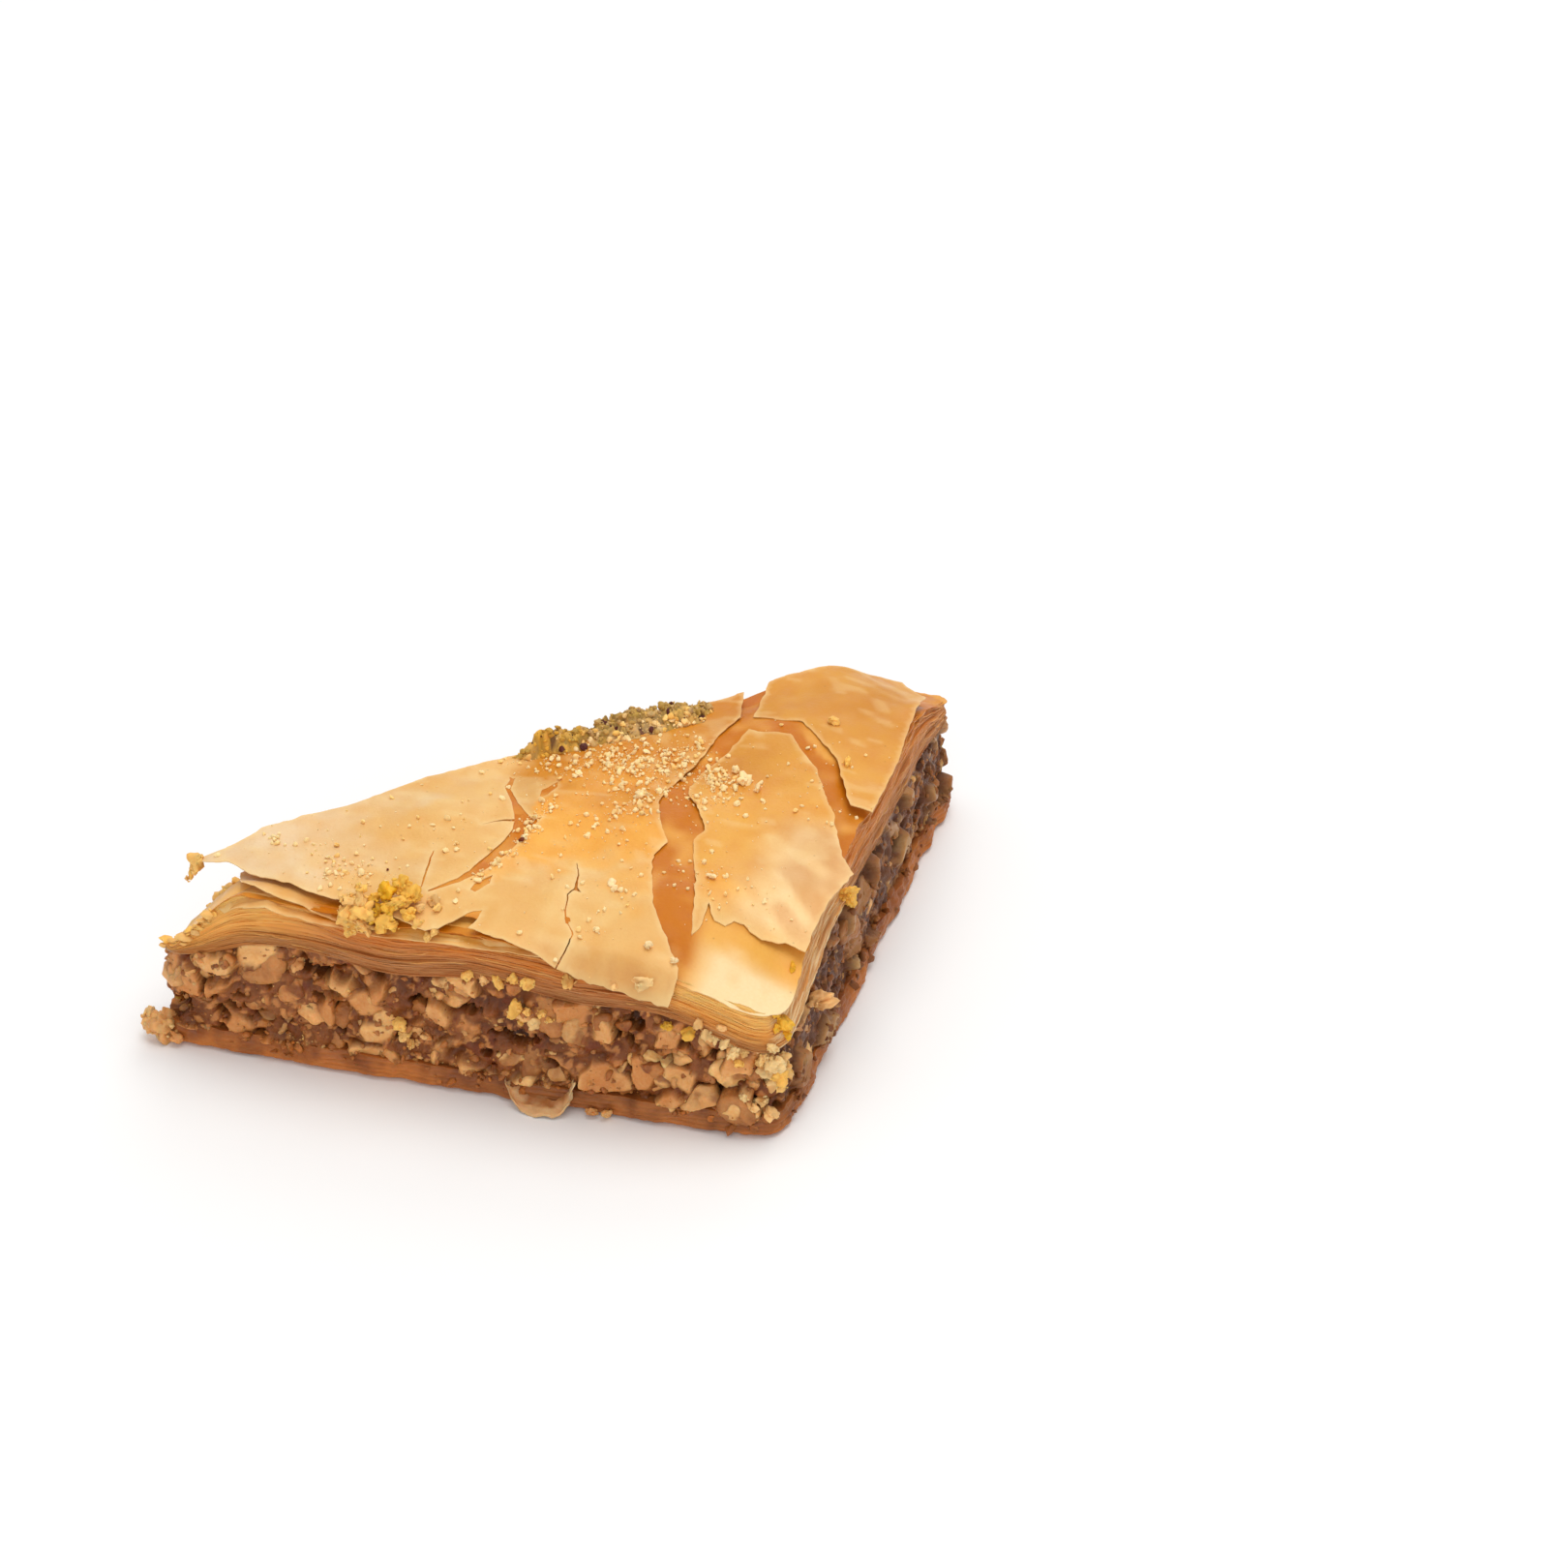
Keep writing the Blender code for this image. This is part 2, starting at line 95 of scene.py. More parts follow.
# Fine sizes and counts that only the looks have
SHEET_THICK = 0.1
SHEET_SPACING = 0.5
SHEET_RAGGED = 0.12
PRESSED_RAGGED = 0.16
LEAF_COUNT = 25
LEAF_THICK = 0.1
LEAF_DEPTH = 3.0
LEAF_SHIFT = 7.3  # how far apart the noise of two leaves is taken
LOOSE_LEAVES = (3, 7, 11, 15, 18, 20, 22, 24)
RIM_POINTS = 240
COLUMNS = 860
BASE_ROWS = 22
WALL_COLUMNS = 1150
WALL_ROWS = 54
NUT_SHARPNESS = 22  # of the edges where a nut broke
NUT_REACH = 1.3  # a broken face no farther out than this, in half sizes
CHUNK_COUNT = 300
BIT_COUNT = 2400
GRAIN_COUNT = 520
BASE_CRUMB_COUNT = 150
SCRAP_GRID = (49, 11)
SPECK_SPACING = 2.1
FAR = 60.0  # where a line starts that looks for a surface

# The solids that the pieces stand for, with their slots
BOTTOM = ("bottom_pastry", "soaked_pastry")
FILLING = ("nut_filling", "chopped_nuts")
PASTRY = ("top_pastry", "baked_pastry")
PISTACHIO = ("pistachio_mound", "ground_pistachio")

# How far red, green and blue light go in something thin, and in the filling and the base
THIN = (1.0, 0.85, 0.7)
DEEP = (1.0, 0.5, 0.22)
# Each finish: roughness, shine, glow, depth, grain, mottle, bump, speck and how far each colour goes
FINISHES = {
    "filo": (0.42, 0.18, 0.25, 0.25, 0.3, 0.08, 0.3, 0.25, THIN),
    "filo_edges": (0.5, 0.15, 0.6, 0.7, 0.25, 0.06, 0.2, 0.0, THIN),
    "walnut": (0.38, 0.28, 0.45, 0.6, 0.3, 0.3, 0.9, 0.1, DEEP),
    "soaked_filo": (0.45, 0.3, 0.4, 0.8, 0.4, 0.12, 0.6, 0.3, DEEP),
    "pistachio": (0.65, 0.25, 0.3, 0.25, 0.25, 0.12, 0.5, 0.0, THIN),
    "dust": (0.6, 0.3, 0.4, 0.3, 0.3, 0.05, 0.3, 0.0, THIN),
}
# The Mix node's colour sockets
MIX_A, MIX_B, MIX_RESULT = 6, 7, 2

PAPER_WHITE = (0.93, 0.93, 0.93, 1)
# Soft lights: name, place in metres, size, watts, colour
LAMPS = [
    ("key", (0.12, 0.10, 0.85), 0.7, 4.7, (1.0, 0.99, 0.97)),
    ("back", (-0.05, 0.75, 0.50), 0.6, 1.3, (1.0, 1.0, 1.0)),
    ("front", (0.1, -0.8, 0.4), 0.7, 2.4, (1.0, 1.0, 1.0)),
]

# The photograph's camera
AZIMUTH = math.radians(15.93)
ELEVATION = math.radians(32.54)
DISTANCE = 600.0
TARGET = (0.0, 0.0, 9.0)
VIEW = Vector((math.sin(AZIMUTH) * math.cos(ELEVATION), -math.cos(AZIMUTH) * math.cos(ELEVATION),
               math.sin(ELEVATION)))
TARGET_PIXEL = (583.9, 848.0)
PICTURE = 1620
PIXELS_PER_MM = 10.933

# The torn top sheets seen from above. The large one is torn from the front up to a small flap
MAIN_SHEET = [
    (-25.9, -28.7), (-24.8, -29.0), (-23.0, -28.9), (-21.8, -29.3), (-20.0, -30.2), (-17.0, -30.7),
    (-14.0, -31.4), (-10.3, -31.7), (-7.0, -32.4), (-5.0, -32.8), (-3.7, -33.3), (-2.4, -33.6),
    (-1.2, -33.2), (-0.3, -32.3), (0.9, -31.0), (2.0, -30.2), (1.9, -31.5), (1.5, -32.8),
    (4.0, -33.4), (7.9, -33.9), (9.95, -34.1), (10.6, -32.2), (10.68, -31.1), (9.6, -29.3),
    (9.0, -27.8), (8.72, -26.3), (9.05, -25.15), (8.55, -22.8), (7.75, -20.6), (7.8, -20.55),
    (8.65, -22.75), (9.25, -24.8), (9.8, -25.38), (9.2, -25.4), (8.85, -26.25), (9.12, -27.75),
    (9.7, -29.25), (10.8, -31.05), (10.72, -32.25), (10.08, -34.1), (12.3, -34.0), (16.0, -34.0),
    (18.4, -34.1), (20.4, -34.0), (20.8, -33.3), (20.9, -32.4), (20.7, -31.7), (19.7, -30.1),
    (18.4, -28.3), (17.3, -26.8), (16.5, -25.6), (16.4, -24.7), (15.7, -22.6), (15.2, -21.5),
    (14.6, -19.5), (14.2, -17.8), (14.8, -15.7), (14.2, -14.3),
    (13.3, -12.6), (12.4, -10.0), (12.2, -7.4), (12.6, -5.3), (13.4, -3.1), (13.8, 0.3),
    (14.2, 4.0), (15.2, 7.5), (13.8, 12.8), (7.6, 7.1), (1.8, 1.3), (-3.4, -3.6), (-6.2, -5.9),
    (-11.7, -11.4), (-16.4, -17.0), (-21.6, -22.9), (-23.8, -26.8), (-25.6, -28.1),
]
MAIN_HOLES = [
    [(-3.6, -28.9), (-2.6, -27.7), (-1.6, -26.6), (-0.9, -25.2), (-0.6, -23.7), (-0.1, -21.3),
     (0.4, -19.1), (0.6, -17.2), (0.4, -15.9), (-1.3, -16.6), (-2.4, -17.55), (-1.3, -16.45),
     (0.3, -15.5), (-1.0, -12.7), (-2.6, -9.6), (-2.6, -7.6), (-2.3, -7.6), (-1.9, -10.0),
     (-0.4, -12.7), (1.8, -15.0), (2.5, -14.4), (2.1, -16.5), (1.7, -19.3), (1.25, -21.4),
     (0.9, -23.2), (0.4, -24.6), (-0.4, -26.0), (-1.3, -27.2), (-2.5, -28.2), (-3.5, -29.05)],
    [(-5.15, -22.6), (-4.75, -25.0), (-4.5, -27.0), (-4.37, -28.4), (-4.47, -28.4), (-4.7, -27.0),
     (-4.93, -25.05), (-5.25, -22.7)],
    [(0.1, -27.9), (0.2, -26.9), (1.3, -25.3), (1.5, -26.6), (0.6, -28.1)],
    [(1.2, -11.4), (1.0, -9.6), (2.0, -7.8), (2.3, -8.8), (1.8, -10.4)],
]
RIGHT_SHEET = [
    (20.9, -27.4), (21.4, -26.0), (21.2, -23.6), (22.2, -25.2), (23.2, -25.2), (23.7, -24.4),
    (24.6, -24.3), (25.3, -24.8), (26.6, -25.0), (28.6, -24.5), (30.5, -24.8), (30.8, -21.9),
    (31.3, -19.5), (32.0, -16.2), (32.1, -14.6), (30.6, -12.6), (28.0, -6.4), (24.6, 0.2),
    (20.6, 5.0), (16.6, 5.2), (15.6, 1.0), (14.4, -2.8), (14.1, -5.8), (14.5, -7.2), (15.8, -9.1),
    (16.9, -11.1), (17.5, -12.6), (17.1, -14.5), (17.9, -17.3), (19.1, -20.9), (19.9, -23.4),
    (20.4, -26.0),
]
REAR_SHEET = [
    (31.2, -4.7), (31.3, -2.0), (31.0, 8.0), (30.0, 19.4), (26.4, 24.6), (20.6, 19.7), (15.8, 14.9),
    (16.4, 7.6), (21.2, 7.4), (25.8, 2.6), (29.2, -4.4),
]
SECOND_SHEET = [
    (-21.9, -28.0), (-21.3, -30.0), (-20.6, -31.5), (-18.6, -32.1), (-16.4, -32.4), (-12.4, -32.7),
    (-10.6, -33.0), (-8.0, -33.1), (-3.0, -33.1), (2.0, -32.8), (8.0, -32.2), (12.0, -31.6),
    (10.0, -28.0), (-6.0, -24.0), (-14.0, -22.0), (-20.0, -24.4),
]
THIRD_SHEET = [
    (-23.9, -30.4), (-22.6, -32.2), (-19.8, -33.0), (-17.4, -33.2), (-14.0, -33.3), (-9.0, -33.4),
    (-4.0, -33.4), (2.0, -33.2), (8.0, -32.8), (14.0, -32.4), (16.0, -30.0), (10.0, -28.0),
    (-6.0, -27.0), (-18.0, -27.0), (-22.4, -27.6),
]
LINING = [
    (-14.0, -29.0), (-8.0, -31.0), (-3.4, -31.9), (1.0, -31.3), (6.0, -31.6), (12.6, -31.6),
    (13.4, -27.0), (12.6, -20.0), (11.2, -14.0), (6.0, -6.0), (2.0, -3.0), (-5.0, -8.0), (-12.0, -16.0),
    (-16.0, -22.0),
]
# The pointed flap beside the upper end of the long crack
FLAP = [
    (-2.4, -7.1), (-1.9, -10.0), (-0.6, -12.6), (1.7, -15.2), (1.2, -12.0), (1.1, -9.3), (2.0, -7.6),
]

# The long crack, y and then x along it, and the middle of the raised lip at the shorter one
CRACK = ((-34, -28.5, -24.2, -18.9, -15.5, -10.0, -7.0), (-4.0, -3.0, -0.2, 0.8, 0.7, -1.6, -2.4))
CRACK_LIP = (7.9, -25.6)
# How the front edges of the two lower sheets wave up and down: x and then rise along them
THIRD_WAVE = ((-22, -20, -17.7, -15.5), (-0.6, 0.0, 0.6, 0.0))
SECOND_WAVE = ((-21, -18, -16, -14, -12.6, -10), (1.05, 0.75, 0.45, 0.0, -0.35, -0.75))

# The pistachio mound's outline: along the rear edge from its middle, and in from it
MOUND = [
    (-5.8, 0.5), (-4.2, 1.9), (-1.6, 2.6), (1.0, 3.2), (4.4, 4.3), (9.0, 4.6), (12.6, 4.0),
    (14.8, 2.4), (14.2, 0.8), (9.0, 0.1), (3.0, 0.1), (-2.0, 0.0),
]

# Pale powder on the sheets: x, y, how far it spreads, how many grains
POWDER = [
    (3.0, -4.1, 1.6, 110), (6.5, -3.1, 1.6, 130), (9.9, -2.1, 1.7, 130), (12.9, 0.5, 1.4, 80),
    (-1.0, -4.6, 1.2, 40), (11.4, -6.9, 1.6, 90), (10.6, -10.6, 1.6, 60), (9.4, -12.6, 1.4, 36),
    (7.8, -5.5, 2.2, 130), (12.1, -3.2, 1.2, 80), (1.9, -14.7, 0.5, 26), (2.3, -16.7, 0.35, 26),
    (1.9, -18.7, 0.35, 26), (1.5, -21.0, 0.35, 26), (1.1, -23.2, 0.35, 26), (0.2, -25.6, 0.5, 20),
    (2.6, -13.0, 0.6, 22), (-12.4, -27.6, 1.2, 50), (-10.0, -27.2, 1.2, 44), (-5.8, -17.6, 2.5, 20),
    (-19.7, -24.5, 0.4, 22), (-15.0, -26.0, 2.5, 30), (15.2, -3.0, 0.9, 90), (16.6, -4.2, 0.9, 90),
    (18.0, -5.4, 1.1, 60), (16.4, -7.4, 1.1, 44), (7.0, -16.5, 2.0, 30), (13.5, -24.5, 1.3, 22),
    (12.0, -30.0, 0.9, 14), (19.5, -19.0, 1.6, 26), (21.0, -21.5, 1.4, 22), (26.0, -21.0, 3.0, 30),
    (6.0, -15.0, 9.0, 240), (24.0, -2.0, 5.0, 90), (-9.0, -24.0, 8.0, 90),
]
# Crumbs on the sheets: x, y, size, kind
TOP_CRUMBS = [
    (-2.6, -30.4, 1.0, "gold"), (-1.9, -31.2, 0.8, "gold"), (8.2, -7.8, 0.8, "cream"),
    (10.4, -9.6, 0.8, "cream"), (3.6, -6.6, 0.8, "cream"), (18.6, -3.4, 1.0, "cream"),
    (20.3, -4.6, 0.9, "cream"), (17.4, -2.0, 0.9, "cream"), (24.0, 8.0, 1.0, "gold"),
    (27.0, 2.0, 0.9, "gold"), (-14.0, -24.0, 0.6, "gold"), (12.1, -23.6, 0.6, "cream"),
    (12.6, -24.4, 0.6, "cream"), (20.5, -20.3, 0.8, "cream"), (19.1, -17.9, 0.6, "cream"),
    (17.6, -30.6, 0.9, "cream"), (20.2, -31.2, 0.7, "cream"), (12.6, -30.0, 0.6, "cream"),
    (29.6, -25.6, 0.8, "bright"),
]
# Two clumps of ground pistachio on the front rim, the left one hanging over it, and the flakes on
# the tip of the left corner: x, y, height, size, kind
CLUMPS = [
    (-9.9, -32.4, 18.9, 1.8, "gold"), (-8.9, -32.4, 19.0, 1.7, "gold"), (-9.6, -32.8, 17.7, 2.0, "gold"),
    (-8.6, -32.8, 18.2, 1.8, "gold"), (-9.4, -33.1, 16.6, 1.7, "gold"), (-8.3, -33.1, 17.0, 1.6, "gold"),
    (-10.4, -32.7, 17.8, 1.2, "gold"), (-9.1, -31.6, 19.8, 1.4, "gold"), (-10.0, -32.9, 16.8, 1.2, "gold"),
    (-7.7, -32.6, 18.2, 1.1, "bright"), (-7.9, -31.6, 19.0, 1.4, "bright"),
    (-7.2, -32.5, 18.4, 1.3, "skin"), (-6.9, -31.0, 19.4, 1.6, "bright"),
    (-6.2, -32.4, 18.7, 1.6, "bright"), (-5.6, -30.4, 20.0, 2.1, "yellow"),
    (-4.4, -30.9, 19.6, 1.9, "yellow"), (-5.2, -31.8, 19.1, 1.8, "yellow"),
    (-6.6, -33.0, 17.5, 1.5, "yellow"), (-5.6, -33.2, 17.5, 1.5, "yellow"),
    (-4.2, -32.5, 18.5, 1.4, "yellow"), (-3.4, -31.8, 18.9, 1.1, "gold"), (-3.2, -32.9, 17.9, 1.0, "gold"),
    (-7.6, -33.0, 17.7, 1.1, "bright"), (-1.6, -33.2, 17.6, 0.9, "gold"), (-2.2, -33.3, 16.9, 0.7, "gold"),
    (-25.9, -28.7, 17.75, 1.2, "gold"), (-25.7, -28.6, 18.1, 0.8, "gold"),
    (-26.2, -28.7, 17.2, 0.8, "gold"), (-26.1, -28.9, 16.8, 0.6, "gold"), (-26.5, -28.7, 16.4, 0.9, "gold"),
    (-26.9, -28.7, 15.8, 0.8, "gold"),
]
# Golden flakes along the outline of the crushed left corner: x and z where they start and end, how many
FRINGE = ((-22.0, 17.2), (-28.4, 8.8), 60)
# Crumbs on the cut front, where the line of sight crosses its plane: x, z, size, kind
FRONT_CRUMBS = [
    (10.9, 14.4, 1.4, "gold"), (15.2, 14.5, 0.8, "tan"), (17.8, 15.5, 1.5, "honey"),
    (1.4, 13.2, 1.1, "gold"), (2.9, 13.0, 1.3, "tan"), (4.3, 12.9, 1.3, "gold"), (5.6, 13.6, 1.2, "gold"),
    (7.0, 13.4, 1.4, "gold"), (5.8, 10.4, 1.4, "gold"), (6.9, 10.2, 1.1, "gold"), (7.6, 9.1, 0.9, "honey"),
    (8.3, 10.3, 1.1, "gold"), (9.0, 9.8, 1.0, "gold"), (6.3, 9.0, 0.9, "gold"), (-5.3, 6.6, 1.4, "gold"),
    (-4.9, 5.6, 1.4, "gold"), (-4.4, 4.7, 1.2, "gold"), (-3.6, 6.3, 1.0, "tan"), (-3.0, 5.6, 0.8, "tan"),
    (-14.9, 11.5, 1.4, "tan"), (20.1, 11.1, 1.3, "bright"), (22.1, 10.8, 1.2, "yellow"),
    (23.0, 12.1, 0.8, "honey"), (23.9, 11.1, 1.5, "honey"), (25.1, 12.0, 0.9, "tan"),
    (24.5, 10.8, 1.1, "honey"), (25.6, 10.3, 1.3, "honey"), (26.2, 9.4, 1.3, "honey"),
    (26.7, 8.4, 1.1, "gold"), (27.2, 9.8, 1.1, "gold"), (29.1, 9.6, 1.8, "honey"),
    (30.0, 8.9, 1.8, "honey"), (30.9, 9.7, 1.5, "honey"), (30.5, 7.7, 1.8, "gold"),
    (29.1, 7.9, 1.4, "honey"), (27.1, 4.7, 1.1, "honey"), (28.0, 3.8, 1.3, "tan"),
    (28.8, 4.7, 1.3, "honey"), (29.6, 3.5, 1.5, "tan"), (30.2, 14.2, 1.2, "bright"),
    (30.9, 13.4, 1.5, "bright"), (31.2, 12.4, 1.2, "bright"), (30.2, 12.8, 1.0, "bright"),
    (30.5, 8.9, 1.5, "honey"), (31.2, 8.6, 1.2, "gold"), (29.9, 10.6, 1.2, "honey"),
    (30.6, 6.6, 1.3, "gold"), (29.7, 6.9, 1.2, "honey"), (28.8, 8.9, 1.2, "gold"),
]
# Crumbs on the side that faces +X: x, y, height, size, kind
SIDE_CRUMBS = [
    (31.2, -22.0, 8.8, 2.2, "tan"), (31.0, -12.4, 14.2, 1.8, "yellow"), (31.0, -11.0, 12.8, 1.6, "yellow"),
]
# The curled scrap of leaf: points of its outer rim and of the rim by the base, x, y, height
SCRAP = [
    ((4.5, -32.7, 2.5), (5.0, -32.3, 2.4)), ((5.2, -33.7, 1.5), (5.9, -32.6, 2.1)),
    ((6.3, -34.5, 0.5), (6.9, -32.9, 1.5)), ((7.8, -34.9, 0.3), (8.1, -33.1, 1.1)),
    ((9.3, -34.8, 0.45), (9.4, -33.1, 1.2)), ((10.5, -34.3, 1.2), (10.4, -33.0, 1.8)),
    ((11.2, -33.6, 2.6), (10.9, -32.8, 2.7)), ((11.35, -33.2, 3.7), (11.0, -32.7, 3.4)),
]
# Crumbs beside the left corner and below the front: x, y, height, size, kind
STRAY = [
    (-28.5, -32.0, 1.5, 2.6, "tan"), (-29.6, -32.2, 1.3, 2.1, "tan"), (-30.3, -31.6, 2.2, 1.5, "tan"),
    (-27.3, -32.8, 1.0, 1.5, "tan"), (13.0, -33.4, 0.7, 1.0, "tan"), (14.3, -33.4, 0.7, 1.0, "tan"),
]


def rgb(red, green, blue):
    """A colour as a screen shows it, from 0 to 255, in linear light."""
    c = np.array((red, green, blue)) / 255
    return np.where(c <= 0.04045, c / 12.92, ((c + 0.055) / 1.055) ** 2.4)


TAIL = rgb(227, 198, 158)
CREAM = rgb(242, 210, 150)
BEIGE = rgb(216, 166, 104)
HONEY = rgb(228, 182, 114)
GOLD = rgb(236, 172, 78)
DEEP_GOLD = rgb(206, 137, 43)
ORANGE = rgb(200, 115, 8)
CORNER = rgb(250, 218, 166)
FOLD = rgb(226, 180, 128)
LEAF_LIGHT = rgb(248, 190, 104)
LEAF_GOLD = rgb(236, 160, 76)
LEAF_ORANGE = rgb(206, 120, 40)
LEAF_BEIGE = rgb(206, 138, 82)
LEAF_BROWN = rgb(178, 100, 40)
NUT_PALE = rgb(244, 196, 130)
NUT_TAN = rgb(212, 148, 86)
PASTE = rgb(166, 102, 48)
PASTE_DARK = rgb(100, 51, 17)
SYRUP = (0.85, 0.55, 0.25)
SKIN_RED = rgb(112, 48, 22)
# Near black, painted as shade in the deep gaps of the filling
PAINTED_CREVICE_SHADE = rgb(60, 24, 6)
SOAKED = rgb(192, 116, 50)
SOAKED_DARK = rgb(130, 70, 30)
CRUMB_CREAM = rgb(255, 224, 166)
CRUMB_GOLD = rgb(250, 194, 96)
PISTACHIO_BRIGHT = rgb(232, 176, 30)
PISTACHIO_YELLOW = rgb(234, 180, 66)
PISTACHIO_OLIVE = rgb(188, 150, 70)
PISTACHIO_GREY = rgb(206, 170, 114)
PISTACHIO_SKIN = rgb(92, 44, 38)
CRUMB_TONES = {
    "cream": (CRUMB_CREAM, CORNER), "honey": (CREAM, HONEY), "gold": (CRUMB_GOLD, HONEY),
    "tan": (NUT_PALE, NUT_TAN), "yellow": (PISTACHIO_YELLOW, CRUMB_GOLD),
    "bright": (PISTACHIO_BRIGHT, PISTACHIO_YELLOW), "skin": (SKIN_RED, PISTACHIO_BRIGHT),
}


def hashed(places, seed):
    """A repeatable random number from 0 to 1 for each row of whole numbers."""
    n = np.full(len(places), seed * 374761393 + 668265263, np.int64)
    for k, prime in enumerate((73856093, 19349663, 83492791)):
        n ^= places[:, k] * prime
    n = (n ^ (n >> 13)) * 1274126177
    n = (n ^ (n >> 17)) * 2246822519
    return ((n ^ (n >> 16)) & 0xFFFFFF) / 0xFFFFFF


def lumps(points, size, seed):
    """Smooth noise from -1 to 1 at each point, with features of about that size."""
    p = np.asarray(points, float) / size
    whole = np.floor(p).astype(np.int64)
    part = p - whole
    part = part * part * (3 - 2 * part)
    total = 0.0
    for corner in np.ndindex(2, 2, 2):
        share = np.prod(np.where(corner, part, 1 - part), axis=1)
        total = total + share * hashed(whole + corner, seed)
    return total * 2 - 1


def noise(points, *layers):
    """The sum of layers of lumps, each given by its strength, size and seed."""
    return sum(strength * lumps(points, size, seed) for strength, size, seed in layers)


def drift(points, size, seed):
    """Lumps as a shift each way, from three seeds in a row."""
    return np.column_stack([lumps(points, size, seed + k) for k in range(3)])


def cells(points, size, seed):
    """Packed cells: distances to the nearest two centres, the cell's random number, the way to its centre.

    Distances are in cell sizes.
    """
    p = np.asarray(points, float) / size
    whole = np.floor(p).astype(np.int64)
    first = np.full(len(p), 9.0)
    second = first.copy()
    tag = np.zeros(len(p))
    way = np.zeros(p.shape)
    for step in np.ndindex(3, 3, 3):
        cell = whole + np.array(step) - 1
        centre = cell + np.column_stack([hashed(cell, seed + k) for k in (1, 2, 3)])
        away = np.sqrt(((p - centre) ** 2).sum(axis=1))
        closer = away < first
        second = np.where(closer, first, np.minimum(second, away))
        tag = np.where(closer, hashed(cell, seed + 4), tag)
        way = np.where(closer[:, None], p - centre, way)
        first = np.where(closer, away, first)
    return first, second, tag, way


def smooth(t):
    """0 at t 0, 1 at t 1, with no corner between."""
    t = np.clip(t, 0.0, 1.0)
    return t * t * (3 - 2 * t)


def spot(x, y, middle, spread):
    """1 at the middle of an oval patch, fading out round it. spread is squared millimetres each way."""
    return np.exp(-((x - middle[0]) ** 2 / spread[0] + (y - middle[1]) ** 2 / spread[1]))


def mix(a, b, share):
    """Colours from a to b, one for each share."""
    share = np.clip(np.asarray(share, float), 0, 1)[..., None]
    return np.asarray(a) * (1 - share) + np.asarray(b) * share


def resampled(path, count):
    """The closed path as that many points, evenly spaced along it."""
    closed = np.vstack([path, path[:1]])
    steps = np.hypot(*np.diff(closed, axis=0).T)
    length = np.concatenate([[0.0], np.cumsum(steps)])
    at = np.linspace(0.0, length[-1], count, endpoint=False)
    return np.stack([np.interp(at, length, closed[:, k]) for k in (0, 1)], axis=1)


def plan(count):
    """Points round the piece seen from above, anticlockwise, and the outward direction at each."""
    path = []
    for i, (corner, radius) in enumerate(CORNERS):
        here = np.array(corner)
        before = np.array(CORNERS[i - 1][0]) - here
        after = np.array(CORNERS[(i + 1) % len(CORNERS)][0]) - here
        before /= np.hypot(*before)
        after /= np.hypot(*after)
        half_angle = math.acos(np.clip(before @ after, -1, 1)) / 2
        middle = here + (before + after) / np.hypot(*(before + after)) * radius / math.sin(half_angle)
        start = here + before * radius / math.tan(half_angle) - middle
        turn = math.pi - 2 * half_angle
        for step in range(7):
            angle = turn * step / 6
            c, s = math.cos(angle), math.sin(angle)
            path.append(middle + (start[0] * c - start[1] * s, start[0] * s + start[1] * c))
    points = resampled(np.array(path), count)
    bow = BOW * (1 - (2 * (points[:, 0] - FRONT) / LEG - 1) ** 2)
    points[:, 1] -= bow * smooth((FRONT + 4 - points[:, 1]) / 4)
    along = np.roll(points, -1, axis=0) - np.roll(points, 1, axis=0)
    along /= np.hypot(*along.T)[:, None]
    return points, np.stack([along[:, 1], -along[:, 0]], axis=1)


def sag(x, y, tip, depth, reach):
    """How far a surface drops towards a cut corner."""
    return depth * (1 - smooth(np.hypot(x - tip[0], y - tip[1]) / reach))


def left_sag(x, y):
    """How far the pressed leaves drop towards the left corner, more on the long side than in front."""
    return 7.0 * (1 - smooth((x - LEFT_TIP[0] - 0.5 * (y - LEFT_TIP[1])) / 9.6))


def crush(x, y):
    """How far the blunt left corner is pressed down on the long side."""
    return 3.4 * (1 - smooth(np.hypot(x + 29.2, y + 26.8) / 5.6))


def filling_top(x, y):
    """Height of the boundary between the nuts and the top pastry."""
    wave = WAVE_HEIGHT * np.cos(2 * np.pi * (x - WAVE_CREST + 0.4 * (y - FRONT)) / WAVE_PERIOD)
    corners = sag(x, y, LEFT_TIP, 2.2, 11) + sag(x, y, RIGHT_TIP, 2.8, 18) + sag(x, y, REAR_TIP, 2.6, 13)
    return FILLING_TOP + wave - corners - crush(x, y)


def inset_of(x, y):
    """Distance inside the nearest of the three cut sides, negative outside."""
    return np.minimum(np.minimum(SIDE - x, y - FRONT), (x - y) / math.sqrt(2))


def crown(x, y):
    """Height that the pressed leaves would have if the left corner weren't crushed."""
    dome = DOME * smooth(inset_of(x, y) / 9.0)
    ripple = 0.22 * np.sin(x * 0.31 + y * 0.17) + 0.16 * np.cos(y * 0.43 - x * 0.12)
    return PASTRY_TOP + dome + ripple - sag(x, y, RIGHT_TIP, 4.0, 17) - sag(x, y, REAR_TIP, 5.5, 14)


def pastry_top(x, y):
    """Height of the upper face of the pressed leaves, before the loose sheets on it."""
    thinnest = 0.7 + 0.6 * smooth((x + 28) / 4)
    return np.maximum(crown(x, y) - left_sag(x, y) - crush(x, y), filling_top(x, y) + thinnest)


def sheet_level(x, y):
    """Upper side of the loose sheets: on the pressed leaves, level over the sunken left corner."""
    tail = 0.9 * (1 - smooth((x + 28) / 4))
    overhang = np.logaddexp(0, -2.4 * inset_of(x, y)) / 2.4
    hang = 0.3 + 1.6 * smooth((x - 6) / 9) * smooth((FRONT + 2 - y) / 1.5)
    return crown(x, y) + SHEET_RISE - tail - hang * overhang


